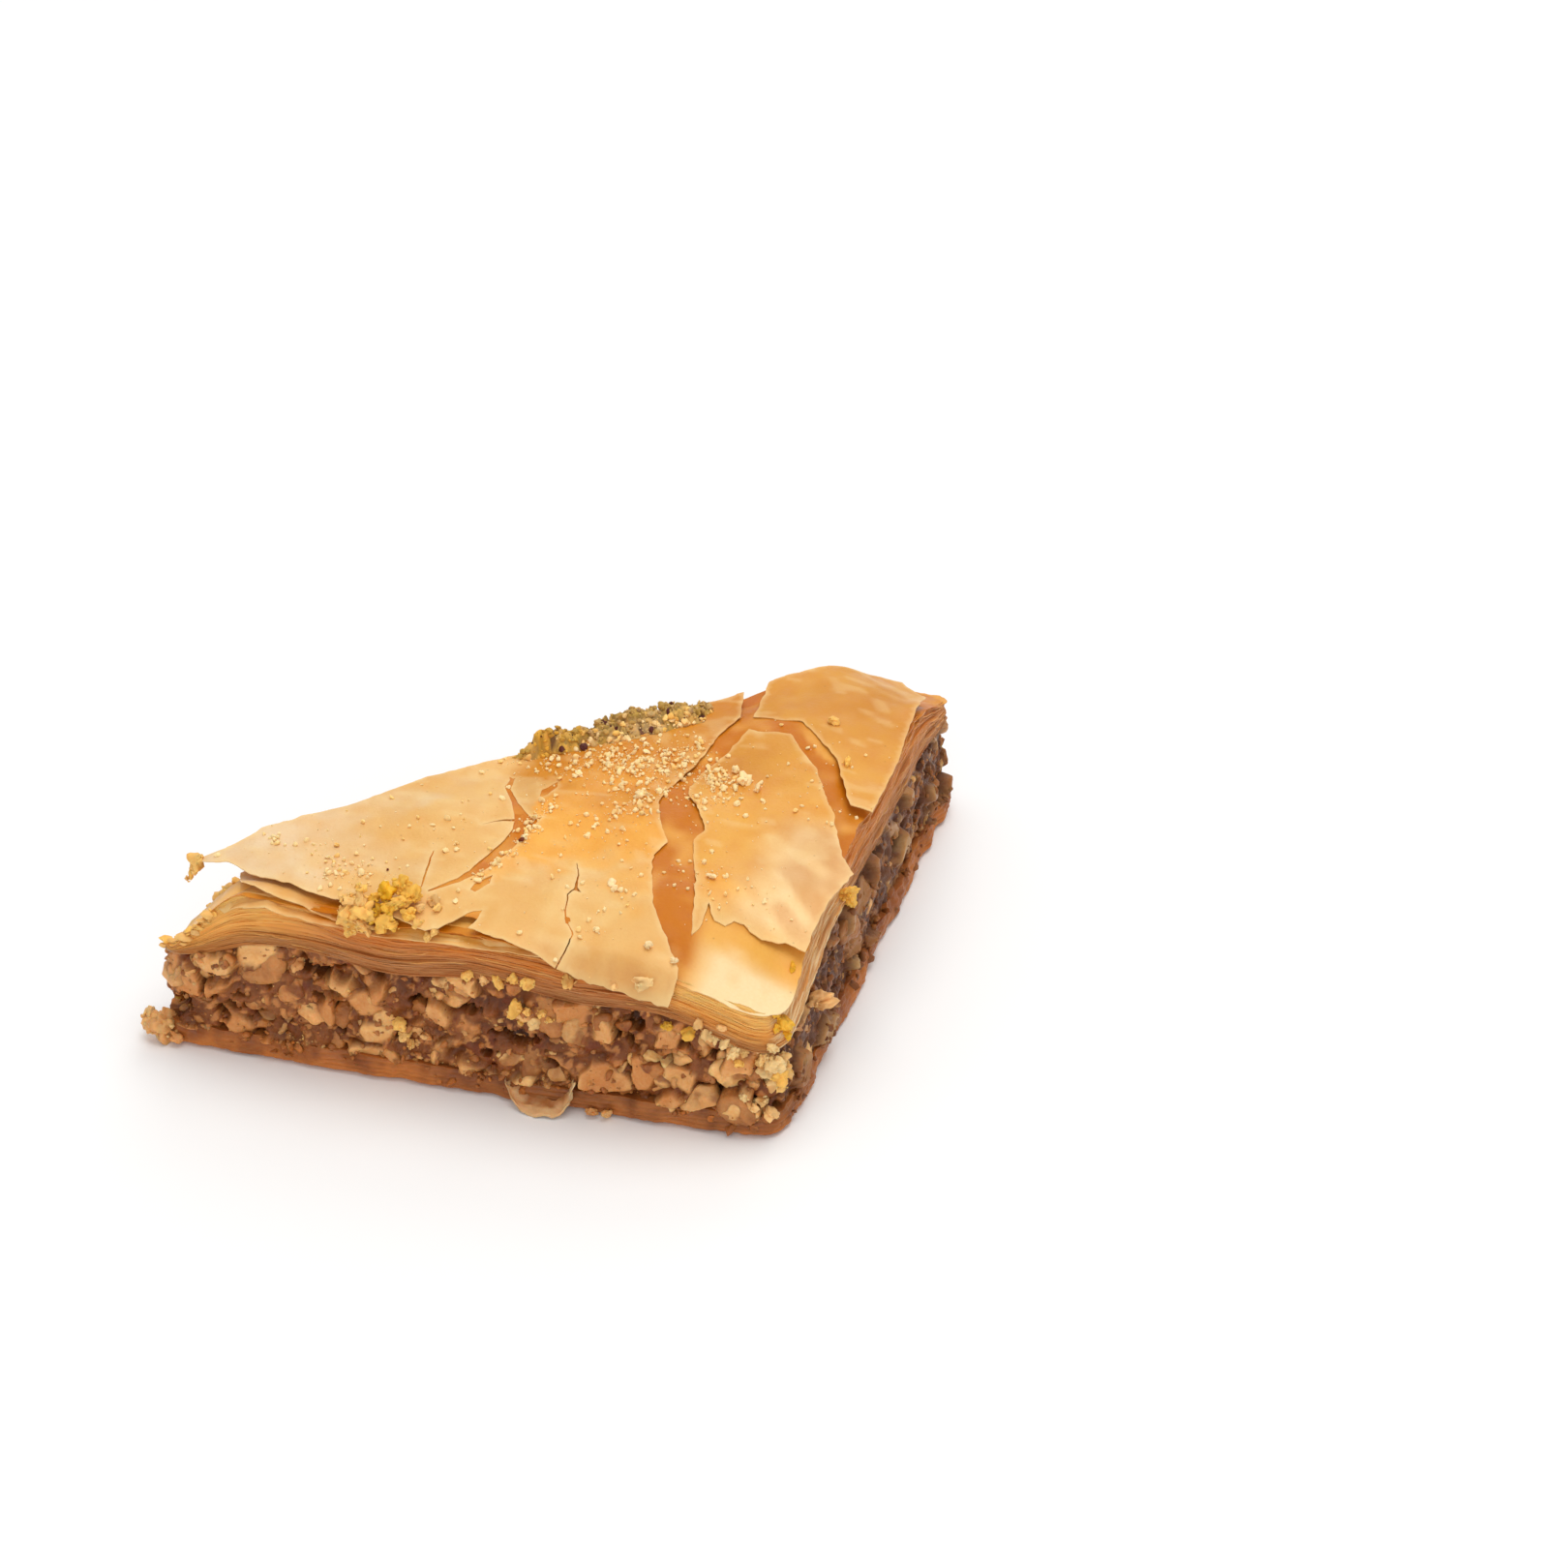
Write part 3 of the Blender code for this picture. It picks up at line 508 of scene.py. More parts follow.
def flat(x, y, z=0.0):
    """Points at one height, for noise that only depends on the place seen from above."""
    return np.column_stack([x, y, np.broadcast_to(z, np.shape(x))])


def add_object(name, data):
    """An object of that data, in the scene."""
    made = bpy.data.objects.new(name, data)
    bpy.context.scene.collection.objects.link(made)
    return made


def mesh_piece(name, points, faces, tints, finish, layer, sharp=40):
    """A shaded object of a mesh given in millimetres, riding on the body and standing for that layer."""
    node, slot = layer
    mesh = bpy.data.meshes.new(name)
    moved = (np.asarray(points, float) - (*CENTRE, 0.0)) * MM
    moved[:, 2] = np.maximum(moved[:, 2], 0.02 * MM)
    mesh.from_pydata(moved.tolist(), [], faces)
    colours = mesh.attributes.new("tint", "FLOAT_COLOR", "POINT")
    colours.data.foreach_set("color", np.column_stack([tints, np.ones(len(tints))]).ravel())
    mesh.shade_smooth()
    mesh.set_sharp_from_angle(angle=math.radians(sharp))
    mesh.materials.append(finish)
    piece = add_object(name, mesh)
    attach(piece, "root")
    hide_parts(node)


def grid_faces(rows, count):
    """The four corners of each square in a grid of points that closes on itself both ways."""
    index = np.arange(rows * count).reshape(rows, count)
    following = np.roll(index, -1, axis=1)
    return np.stack([index, following, np.roll(following, -1, axis=0), np.roll(index, -1, axis=0)], axis=-1)


def ring_at(points, outward, proud, z):
    """The points moved outward, each by how proud it is, at the heights z."""
    return np.column_stack([points + outward * proud[:, None], z])


def ring_piece(name, rings, tones, heights, caps, finish, layer, sharp):
    """A closed skin over rings, from the lowest up, with a middle point below and one above.

    heights and caps are the heights and the colours of those two points.
    """
    rows, count = len(rings), len(rings[0])
    points = np.vstack([*rings, [(*CENTRE, z) for z in heights]])
    faces = grid_faces(rows, count)[:-1].reshape(-1, 4).tolist()
    last, bottom, top = (rows - 1) * count, rows * count, rows * count + 1
    for i in range(count):
        j = (i + 1) % count
        faces += [(bottom, j, i), (top, last + i, last + j)]
    mesh_piece(name, points, faces, np.vstack([*tones, *caps]), finish, layer, sharp)


def ragged_rim(outline, step, ragged, seed):
    """The outline as closely spaced points, torn a little at three scales."""
    rim = []
    for start, end in zip(outline, outline[1:] + outline[:1]):
        count = max(1, round(math.dist(start, end) / step))
        rim += [np.add(start, np.subtract(end, start) * k / count) for k in range(count)]
    rim = np.array(rim)
    for size, share in ((1.6, 1.0), (0.7, 0.6), (0.32, 0.3)):
        shift = [lumps(flat(*rim.T, k), size, seed) for k in (0, 40)]
        rim = rim + ragged * share * np.column_stack(shift)
    return rim


def inside_polygon(x, y, polygon):
    """Which points lie inside the polygon."""
    inside = np.zeros(len(x), bool)
    for (x1, y1), (x2, y2) in zip(polygon, np.roll(polygon, -1, axis=0)):
        if y1 != y2:
            crosses = (y1 > y) != (y2 > y)
            inside ^= crosses & (x < (x2 - x1) * (y - y1) / (y2 - y1) + x1)
    return inside


def rim_distance(xy, rim):
    """Distance from each point to the nearest rim point."""
    parts = [np.hypot(*(chunk[:, None] - rim[None]).transpose(2, 0, 1)).min(axis=1)
             for chunk in np.array_split(xy, max(1, len(xy) // 500))]
    return np.concatenate(parts)


def torn_sheet(outline, holes, spacing, ragged, seed):
    """A flat triangulated sheet: its points, triangles and each point's distance in from the tear."""
    loops = [ragged_rim(outline, 0.3, ragged, seed)]
    loops += [ragged_rim(hole, 0.25, ragged * 0.4, seed + 1) for hole in holes]
    rim = np.vstack(loops)
    low, high = rim.min(0), rim.max(0)
    inner = []
    for row, y in enumerate(np.arange(low[1] + spacing / 2, high[1], spacing * 0.87)):
        inner += [(x, y) for x in np.arange(low[0] + spacing / 2 * (1 + row % 2), high[0], spacing)]
    inner = np.array(inner)
    keep = inside_polygon(*inner.T, loops[0])
    for loop in loops[1:]:
        keep &= ~inside_polygon(*inner.T, loop)
    inner = inner[keep]
    inner = inner[rim_distance(inner, rim) > spacing * 0.55]
    edges = []
    for loop in loops:
        start = len(edges)
        edges += [(start + i, start + (i + 1) % len(loop)) for i in range(len(loop))]
    found, _, faces, *_ = delaunay_2d_cdt([Vector(p) for p in (*rim, *inner)], edges, [], 1, 1e-5)
    xy = np.array([tuple(p) for p in found])
    faces = np.array([face for face in faces if len(face) == 3])
    for loop in loops[1:]:
        faces = faces[~inside_polygon(*xy[faces].mean(axis=1).T, loop)]
    a, b, c = xy[faces[:, 0]], xy[faces[:, 1]], xy[faces[:, 2]]
    backward = np.cross(b - a, c - a) < 0
    faces[backward] = faces[backward][:, ::-1]
    return xy, faces, rim_distance(xy, rim)


def thick_sheet(xy, triangles, above, thick):
    """A closed thin solid over a flat triangulation, with its upper side at the heights above."""
    count = len(xy)
    points = np.vstack([np.column_stack([xy, above]), np.column_stack([xy, above - thick])])
    faces = [tuple(face) for face in triangles.tolist()]
    faces += [(c + count, b + count, a + count) for a, b, c in triangles.tolist()]
    ends = np.vstack([triangles[:, [0, 1]], triangles[:, [1, 2]], triangles[:, [2, 0]]])
    known = set(map(tuple, ends.tolist()))
    faces += [(j, i, i + count, j + count) for i, j in known if (j, i) not in known]
    return points, faces


class Heap:
    """Many small closed solids, gathered into one mesh."""

    def __init__(self):
        self.points, self.faces, self.tints, self.size = [], [], [], 0

    def add(self, points, faces, tints):
        """Adds a solid. tints is one colour, or one for each point."""
        self.points.append(points)
        self.faces += (np.asarray(faces) + self.size).tolist()
        self.tints.append(np.broadcast_to(tints, (len(points), 3)))
        self.size += len(points)

    def piece(self, name, finish, layer, sharp=50):
        """The whole heap as one object."""
        mesh_piece(name, np.vstack(self.points), self.faces, np.vstack(self.tints), finish, layer, sharp)


def ball(level):
    """Points and triangles of a unit ball, finer with each level."""
    bm = bmesh.new()
    bmesh.ops.create_icosphere(bm, subdivisions=level, radius=1)
    points = np.array([v.co[:] for v in bm.verts])
    faces = np.array([[v.index for v in f.verts] for f in bm.faces])
    bm.free()
    return points, faces


BALLS = {level: ball(level) for level in (1, 2, 3, 4)}


def any_way(draw):
    """A direction at random, not of unit length."""
    return Vector([draw.gauss(0, 1) for _ in range(3)])


def crumb(size, draw, level=2):
    """A lumpy crumb about size across, turned at random, round the origin."""
    points, faces = BALLS[level]
    at = points + draw.uniform(0, 900)
    swell = 1 + noise(at, (0.55, 0.8, 5), (0.3, 0.38, 6), (0.2 * (level > 2), 0.22, 4))
    stretch = [draw.uniform(0.5, 1.25) for _ in range(3)]
    axis = any_way(draw)
    turn = Matrix.Rotation(draw.uniform(0, math.tau), 3, axis)
    return (points * swell[:, None] * stretch) @ np.array(turn) * size / 2, faces


def cut_nut(size, outward, draw, level):
    """A chopped piece of nut with a broad broken face turned outward, round the origin."""
    points, faces = BALLS[level]
    planes = [((1, draw.gauss(0, 0.22), draw.gauss(0, 0.22)), draw.uniform(0.42, 0.6))]
    for _ in range(draw.randint(6, 9)):
        planes.append(((draw.gauss(0, 0.6), draw.gauss(0, 1), draw.gauss(0, 1)), draw.uniform(0.6, 1.0)))
    nearness = math.exp(-NUT_SHARPNESS * NUT_REACH)
    for way, far in planes:
        cut = far / np.maximum(points @ np.array(Vector(way).normalized()), 0.05)
        nearness = nearness + np.exp(-NUT_SHARPNESS * cut)
    reach = 0.03 - np.log(nearness) / NUT_SHARPNESS
    at = points + draw.uniform(0, 900)
    reach = reach + noise(at, (0.16, 0.8, 7), (0.05, 0.3, 8), (0.03, 0.17, 9))
    shape = points * reach[:, None] * (1, draw.uniform(0.7, 1.3), draw.uniform(0.6, 1.1)) * size / 2
    turn = draw.uniform(0, math.tau)
    c, s = math.cos(turn), math.sin(turn)
    x, y = outward
    return shape @ np.array([(x, y, 0), (-y * c, x * c, s), (y * s, -x * s, c)]), faces


def set_inputs(node, values):
    """Sets a shader node's inputs, each by its name or number."""
    for socket, value in values.items():
        node.inputs[socket].default_value = value


def add_node(tree, kind, values, **settings):
    """A new shader node with those settings and input values."""
    made = tree.nodes.new("ShaderNode" + kind)
    for name, value in settings.items():
        setattr(made, name, value)
    set_inputs(made, values)
    return made


def food_material(name, roughness, shine, glow, depth, grain_mm, mottle, bump, speck, radius):
    """Colour from the mesh's tint, mottled finely, with small relief, and light that soaks in.

    shine is the specular level, glow the share of light that soaks in, depth how far it goes in
    millimetres and radius how far each colour of it goes. grain_mm is the size of the finest
    mottling, mottle how strong it is, speck the share of dark specks.
    """
    made = bpy.data.materials.new(name)
    made.use_nodes = True
    tree = made.node_tree
    shader = tree.nodes["Principled BSDF"]
    place = add_node(tree, "TexCoord", {})
    tint = add_node(tree, "Attribute", {}, attribute_name="tint")
    fine = add_node(tree, "TexNoise", {"Scale": 1000 / grain_mm, "Detail": 4})
    broad = add_node(tree, "TexNoise", {"Scale": 1000 / (grain_mm * 6), "Detail": 3})
    light = add_node(tree, "Math", {}, operation="ADD")
    spread = add_node(tree, "MapRange", {"From Min": 0.7, "From Max": 1.3,
                                         "To Min": mottle * 2, "To Max": 0})
    shade = add_node(tree, "Mix", {MIX_B: (*SYRUP, 1)}, data_type="RGBA", blend_type="MULTIPLY")
    specks = add_node(tree, "TexVoronoi", {"Scale": 1000 / SPECK_SPACING})
    dots = add_node(tree, "MapRange", {"From Min": 0.065, "From Max": 0.03, "To Max": speck})
    brown = add_node(tree, "Mix", {MIX_B: (*SKIN_RED, 1)}, data_type="RGBA")
    gloss = add_node(tree, "MapRange", {"From Min": 0.35, "From Max": 0.65,
                                        "To Min": roughness - 0.1, "To Max": roughness + 0.12})
    relief = add_node(tree, "Bump", {"Strength": bump, "Distance": grain_mm * MM * 0.4})
    for source, target in (
        (place.outputs["Object"], fine.inputs["Vector"]),
        (place.outputs["Object"], broad.inputs["Vector"]),
        (place.outputs["Object"], specks.inputs["Vector"]),
        (fine.outputs["Fac"], light.inputs[0]),
        (broad.outputs["Fac"], light.inputs[1]),
        (light.outputs[0], spread.inputs["Value"]),
        (tint.outputs["Color"], shade.inputs[MIX_A]),
        (spread.outputs["Result"], shade.inputs["Factor"]),
        (specks.outputs["Distance"], dots.inputs["Value"]),
        (dots.outputs["Result"], brown.inputs["Factor"]),
        (shade.outputs[MIX_RESULT], brown.inputs[MIX_A]),
        (brown.outputs[MIX_RESULT], shader.inputs["Base Color"]),
        (broad.outputs["Fac"], gloss.inputs["Value"]),
        (gloss.outputs["Result"], shader.inputs["Roughness"]),
        (fine.outputs["Fac"], relief.inputs["Height"]),
        (relief.outputs["Normal"], shader.inputs["Normal"]),
    ):
        tree.links.new(source, target)
    set_inputs(shader, {"Subsurface Weight": glow, "Subsurface Radius": radius,
                        "Subsurface Scale": depth * MM, "Specular IOR Level": shine})
    return made


def buckles(x, y):
    """The gentle unevenness that the large sheet and its lining share."""
    folds = 0.05 * lumps(flat(x * 1.3 + y * 0.4, y * 0.35), 0.9, 29)
    return folds + noise(flat(x, y), (0.12, 7.0, 1), (0.06, 2.6, 2), (0.03, 0.8, 3))


def main_heights(x, y, inside):
    """Upper side of the large torn sheet: gently buckled, curled up along its tears."""
    curl = (0.12 * lumps(flat(x, y, 9), 3.2, 4) - 0.05) * (1 - smooth(inside / 1.7))
    lip = 0.35 * spot(x, y, CRACK_LIP, (1.2, 9.0)) + 0.12 * spot(x, y, (-5.6, -26.5), (0.8, 8.0))
    flap = inside_polygon(x, y, FLAP) * smooth((-6.6 - y) / 2.5)
    return sheet_level(x, y) + buckles(x, y) + (curl + lip) * (1 - flap) - 0.06 * flap


def lining_heights(x, y, inside):
    """The leaf just under the large sheet, which shows through its cracks."""
    return sheet_level(x, y) + buckles(x, y) - 0.125


def weathered(base, x, y, inside):
    """A sheet's colours with soft blotches, pale scuffs and a thin pale rim along its tears."""
    amber = 0.5 + noise(flat(x, y), (0.6, 1.3, 14), (0.5, 3.4, 15))
    scuff = smooth((lumps(flat(x * 0.6 + y * 0.3, y), 1.2, 17) - 0.35) / 0.3)
    base = base * (1 - amber.clip(0, 1)[:, None] * (0.05, 0.13, 0.25))
    return mix(base * 1.06, CREAM, 0.4 * (1 - smooth(inside / 0.5)) + 0.25 * scuff)


def main_tints(x, y, inside):
    """Near white at the left tail, golden right of the crack, deepest near the pistachio."""
    broad = lumps(flat(x, y), 5.0, 11)
    close = lumps(flat(x, y), 1.7, 12)
    streak = lumps(flat(x * 2.2, y * 0.5), 1.5, 13)
    left = mix(HONEY, TAIL, (-8 - x) / 13 + 0.35 * broad + 0.3 * close)
    right = mix(GOLD, DEEP_GOLD, (y + 15) / 9 + 0.5 * broad + 0.3 * close)
    right = mix(right, HONEY, (-17 - y) / 9 + 0.45 * broad + 0.4 * close)
    width = 0.8 + 0.7 * np.clip(y + 9, 0, None)
    base = mix(left, right, smooth((x - np.interp(y, *CRACK)) / width + 0.5))
    base = mix(base, BEIGE, smooth((-31.4 - y) / 1.8) * smooth((x - 5) / 5) * (0.85 + 0.25 * streak))
    # The raised lip by the shorter crack, paler pastry with a painted highlight
    base = mix(base, CREAM, 0.55 * spot(x, y, CRACK_LIP, (1.5, 10.0)))
    base = mix(base, HONEY * 0.9, 0.8 * inside_polygon(x, y, FLAP) * (y < -7))
    return weathered(base, x, y, inside)


def lining_tints(x, y, inside):
    """Orange with syrup."""
    return mix(ORANGE, GOLD, 0.3 + 0.5 * lumps(flat(x, y), 1.6, 16))


def right_heights(x, y, inside):
    """Upper side of the sheet over the right side, with its pointed corner standing free."""
    level = sheet_level(x, y) + noise(flat(x, y), (0.09, 6.0, 21), (0.05, 2.2, 22))
    level = level + 0.03 * lumps(flat(x * 1.2 - y * 0.5, y * 0.4), 0.9, 23)
    curl = 0.22 * smooth((x - 20) / 6) - 0.1 + 0.14 * lumps(flat(x, y, 9), 3.0, 24)
    return level + (1 - smooth(inside / 1.8)) * curl


def right_tints(x, y, inside):
    """Golden, paler low down, with painted light and shade of folds at the free corner."""
    broad = lumps(flat(x, y), 4.5, 26)
    close = lumps(flat(x, y), 1.6, 27)
    folds = lumps(flat((x + y) * 0.5, (x - y) * 0.16), 1.0, 28)
    base = mix(GOLD, HONEY, 0.3 + (-19 - y) / 8 + 0.5 * broad + 0.35 * close)
    base = mix(base, DEEP_GOLD, 0.5 * smooth((y + 8) / 6) + 0.3 * broad)
    corner = smooth((x - 21) / 6) * smooth((y + 26) / 4) * (1 - smooth((y + 11) / 5))
    # Folds at the free corner: their light and shade painted in pale and darker beige
    base = mix(base, mix(FOLD, CORNER, 0.4 + 1.3 * folds), 0.8 * corner)
    return weathered(base * (1 - 0.1 * smooth((y + 22) / 5))[:, None], x, y, inside)


def under_heights(lift, keep, places, rises):
    """Height function of a sheet below the loose one, that follows part of the left corner's sag.

    places along the front and rises are how its front edge waves up and down.
    """
    def heights(x, y, inside):
        level = crown(x, y) + lift - keep * left_sag(x, y) - 0.5 * smooth((FRONT + 1.2 - y) / 2.0)
        level = level + np.interp(x, places, rises) * smooth((FRONT + 3 - y) / 3)
        level = level + noise(flat(x, y), (0.08, 4.0, 31), (0.03, 1.2, 32))
        rest = pastry_top(x, y) + 0.2 - 4 * smooth((FRONT + 0.6 - y) / 1.2)
        return np.maximum(level, rest) + 0.1 * (1 - smooth(inside / 0.8)) * lumps(flat(x, y), 1.5, 33)
    return heights


def under_tints(x, y, inside):
    """Deep golden, beige at the left, light along the torn edge."""
    at = flat(x, y)
    base = mix(ORANGE, GOLD, 0.6 + 0.7 * lumps(at, 4.0, 36))
    base = mix(base, BEIGE, smooth((-12 - x) / 4) * (0.7 + 0.3 * lumps(at, 1.8, 38)))
    return mix(base, CREAM, 0.5 * (1 - smooth((inside - 0.05) / 0.4)) + 0.2 * lumps(at, 0.9, 37))


def pressed_heights(x, y, inside):
    """The uppermost pressed leaf, which shows wherever the loose sheets have torn away."""
    level = pastry_top(x, y) + 0.12 + noise(flat(x, y), (0.06, 4.0, 41), (0.03, 1.3, 42))
    level = level + 0.7 * smooth((inset_of(x, y) - 1.5) / 4) * smooth((x + 12) / 8)
    return level - 0.35 * (1 - smooth(inside / 0.9)) * (0.4 + 0.6 * lumps(flat(x, y), 3.0, 43))


def pressed_tints(x, y, inside):
    """Saturated with syrup, bright over the right-angled corner and paler at the crushed left one, with
    painted shadow under the right sheet's edge and a painted highlight in front of it.
    """
    close = lumps(flat(x, y), 1.4, 47)
    fold = smooth(lumps(flat((x - y) * 0.2, (x + y) * 0.7), 1.4, 48) * 3)
    base = mix(ORANGE, GOLD, 0.06 + 0.5 * lumps(flat(x, y), 3.5, 46) + 0.4 * close)
    # Golden band under the right sheet's lower edge: painted shadow
    base = mix(base, GOLD, smooth((x - 20.5) / 2) * smooth((-23 - y) / 2.5))
    # The pale front of the right-angled corner, partly a painted highlight
    base = mix(base, CORNER, smooth((x - 20.5) / 4) * smooth((-26.1 - y) / 2.6) * (1.0 + 0.3 * close))
    # Golden folds towards the right sheet's edge, as painted shadow
    base = mix(base, GOLD, 0.7 * smooth((x - 20) / 3) * smooth((y + 29) / 2.5) * fold)
    return mix(base, LEAF_LIGHT, smooth((-20 - x) / 4) * (0.7 + 0.4 * close))


def sheets(finish):
    """The torn sheets on top and the uppermost pressed leaf, each a thin closed solid."""
    points, outward = plan(RIM_POINTS)
    rim = [tuple(p) for p in points - outward * 0.35]
    for name, outline, holes, heights, tints, seed in (
        ("pressed_sheet", rim, [], pressed_heights, pressed_tints, 60),
        ("third_sheet", THIRD_SHEET, [], under_heights(-0.35, 0.8, *THIRD_WAVE), under_tints, 61),
        ("second_sheet", SECOND_SHEET, [], under_heights(0.4, 0.35, *SECOND_WAVE), under_tints, 62),
        ("lining_sheet", LINING, [], lining_heights, lining_tints, 66),
        ("main_sheet", MAIN_SHEET, MAIN_HOLES, main_heights, main_tints, 63),
        ("right_sheet", RIGHT_SHEET, [], right_heights, right_tints, 64),
        ("rear_sheet", REAR_SHEET, [], right_heights, right_tints, 65),
    ):
        ragged = PRESSED_RAGGED if outline is rim else SHEET_RAGGED
        xy, triangles, inside = torn_sheet(outline, holes, SHEET_SPACING, ragged, seed)
        points, faces = thick_sheet(xy, triangles, heights(*xy.T, inside), SHEET_THICK)
        colours = tints(*xy.T, inside)
        # Each sheet's underside painted a little darker, as shade
        mesh_piece(name, points, faces, np.vstack([colours, colours * 0.9]), finish, PASTRY)


def leaf_shares(x, y, leaf):
    """How far up the stack a leaf lies along the sides: bunched, fanned, gaping near the left corner."""
    share = (leaf + 0.5) / LEAF_COUNT
    waves = 0.05 * lumps(flat(x, y, share * 6), 7.0, 51) + 0.022 * lumps(flat(x, y, share * 14), 2.6, 52)
    gape = 0.12 * np.exp(-((x + 15.5) / 4.2) ** 2) * (y < FRONT + 3) * math.tanh((share - 0.42) / 0.07)
    return share + math.sin(math.pi * share) * (waves + gape)


def leaf_tone(own, share):
    """A leaf's colour along its edge: orange with syrup high up, beige low down, golden at the corners,
    with painted shade that darkens the lower leaves and browns the foot of the stack.
    """
    x, y, _ = own.T
    tone = mix(LEAF_BEIGE, LEAF_ORANGE, share * 1.5 - 0.3 + 0.5 * lumps(own, 4.0, 57))
    # Brown in blotches, and at the foot of the stack as painted shade
    tone = mix(tone, LEAF_BROWN, 0.4 * smooth(lumps(own, 2.4, 58) * 2) + 0.5 * smooth((0.1 - share) / 0.1))
    front = smooth((FRONT + 3 - y) / 2)
    ends = front * (smooth((x - 16) / 8) + smooth((-9 - x) / 10)) + 0.6 * smooth((x - y - 50) / 8)
    pale = mix(LEAF_GOLD, LEAF_LIGHT, share * 1.6 - 0.35 + 0.5 * lumps(own, 2.0, 46))
    tone = mix(tone, pale, np.clip(ends, 0, 1) * (0.2 + 0.75 * smooth(share / 0.5)))
    # Darker towards the bottom of the stack: painted shade
    tone = tone * ((0.72 + 0.28 * smooth(share / 0.6)) * (1 + 0.2 * lumps(own, 9.0, 44)))[:, None]
    near = smooth((x - 29) / 1.5) * smooth((-8 - y) / 6)
    return mix(tone, mix(NUT_TAN, CORNER, 0.4 + 1.2 * lumps(own, 1.5, 50)), 0.85 * near)


def leaf_edge(own, leaf):
    """How far the edge of a leaf stands out from the cut side, torn finely, leaning in towards the top."""
    x, y, _ = own.T
    slope = 0.5 + 0.9 * smooth((x - 29) / 1.5) * smooth((-12 - y) / 6)
    torn = noise(own, (0.06, 2.6, 53), (0.045, 0.9, 54), (0.03, 0.35, 55))
    return torn - 0.15 - slope * leaf / LEAF_COUNT + 0.18 * lumps(flat(x, y, leaf // 4 * 5.1), 5.0, 49)


def leaf_wall(finish):
    """The stack of pressed leaves, with a seam under each leaf that is open in some places."""
    points, outward = plan(COLUMNS)
    low, high = filling_top(*points.T) + 0.1, pastry_top(*points.T)
    rings, tones = [], []
    for leaf in range(LEAF_COUNT):
        own = flat(*points.T, leaf * LEAF_SHIFT)
        edge = leaf_edge(own, leaf)
        seam = 0.03 + 0.2 * smooth(lumps(own, 2.8, 60) * 1.7 - 0.3)
        for part, depth, shade in ((0.03, seam, 0.88), (0.28, 0.0, 1.0), (0.85, 0.02, 0.98)):
            share = leaf_shares(*points.T, leaf + part - 0.5)
            rings.append(ring_at(points, outward, edge - depth, low + (high - low) * share))
            tones.append(leaf_tone(own, share) * shade)
    heights = (filling_top(*CENTRE), pastry_top(*CENTRE) - 0.1)
    ring_piece("leaf_wall", rings, tones, heights, ([LEAF_BROWN], [LEAF_ORANGE]), finish, PASTRY, 60)


def loose_leaves(finish):
    """Leaves that stand clear of the stack here and there: thin strips that run round the sides."""
    points, outward = plan(COLUMNS)
    low, high = filling_top(*points.T) + 0.1, pastry_top(*points.T)
    thick = np.minimum(LEAF_THICK, (high - low) / LEAF_COUNT * 0.72)
    profile = ((LEAF_DEPTH, 0, 0), (0.7, 0, 0), (0, 1, 0), (0, 1, 1), (LEAF_DEPTH, 0, 1))
    heap = Heap()
    for leaf in LOOSE_LEAVES:
        share = leaf_shares(*points.T, leaf + 0.3)
        z = low + (high - low) * share
        own = flat(*points.T, leaf * LEAF_SHIFT)
        proud = leaf_edge(own, leaf) - 0.08 + noise(own, (0.3, 3.4, 47), (0.1, 1.1, 48), (0.05, 0.4, 45))
        droop = 0.1 + 0.08 * lumps(own, 2.0, 56)
        strip = np.array([ring_at(points, outward, proud - inset, z - droop * drop - thick * under)
                          for inset, drop, under in profile])
        faces = grid_faces(*strip.shape[:2])[..., [0, 3, 2, 1]]
        tone = leaf_tone(own, share)
        # The outer edges painted lighter as a highlight, and the parts inside the stack and underneath
        # painted darker as shade
        edge = mix(tone, LEAF_LIGHT, 0.3 + 0.3 * lumps(own, 1.2, 59))
        tints = np.vstack([tone * 0.8, tone, edge, edge * 0.95, tone * 0.8])
        heap.add(strip.reshape(-1, 3), faces.reshape(-1, 4), tints)
    heap.piece("loose_leaves", finish, PASTRY, 60)


def painted_side_shadow(x):
    """Painted shadow: the filling is darker on the side that faces +X."""
    return 1 - 0.42 * smooth((x - SIDE + 1.5) / 1.5)


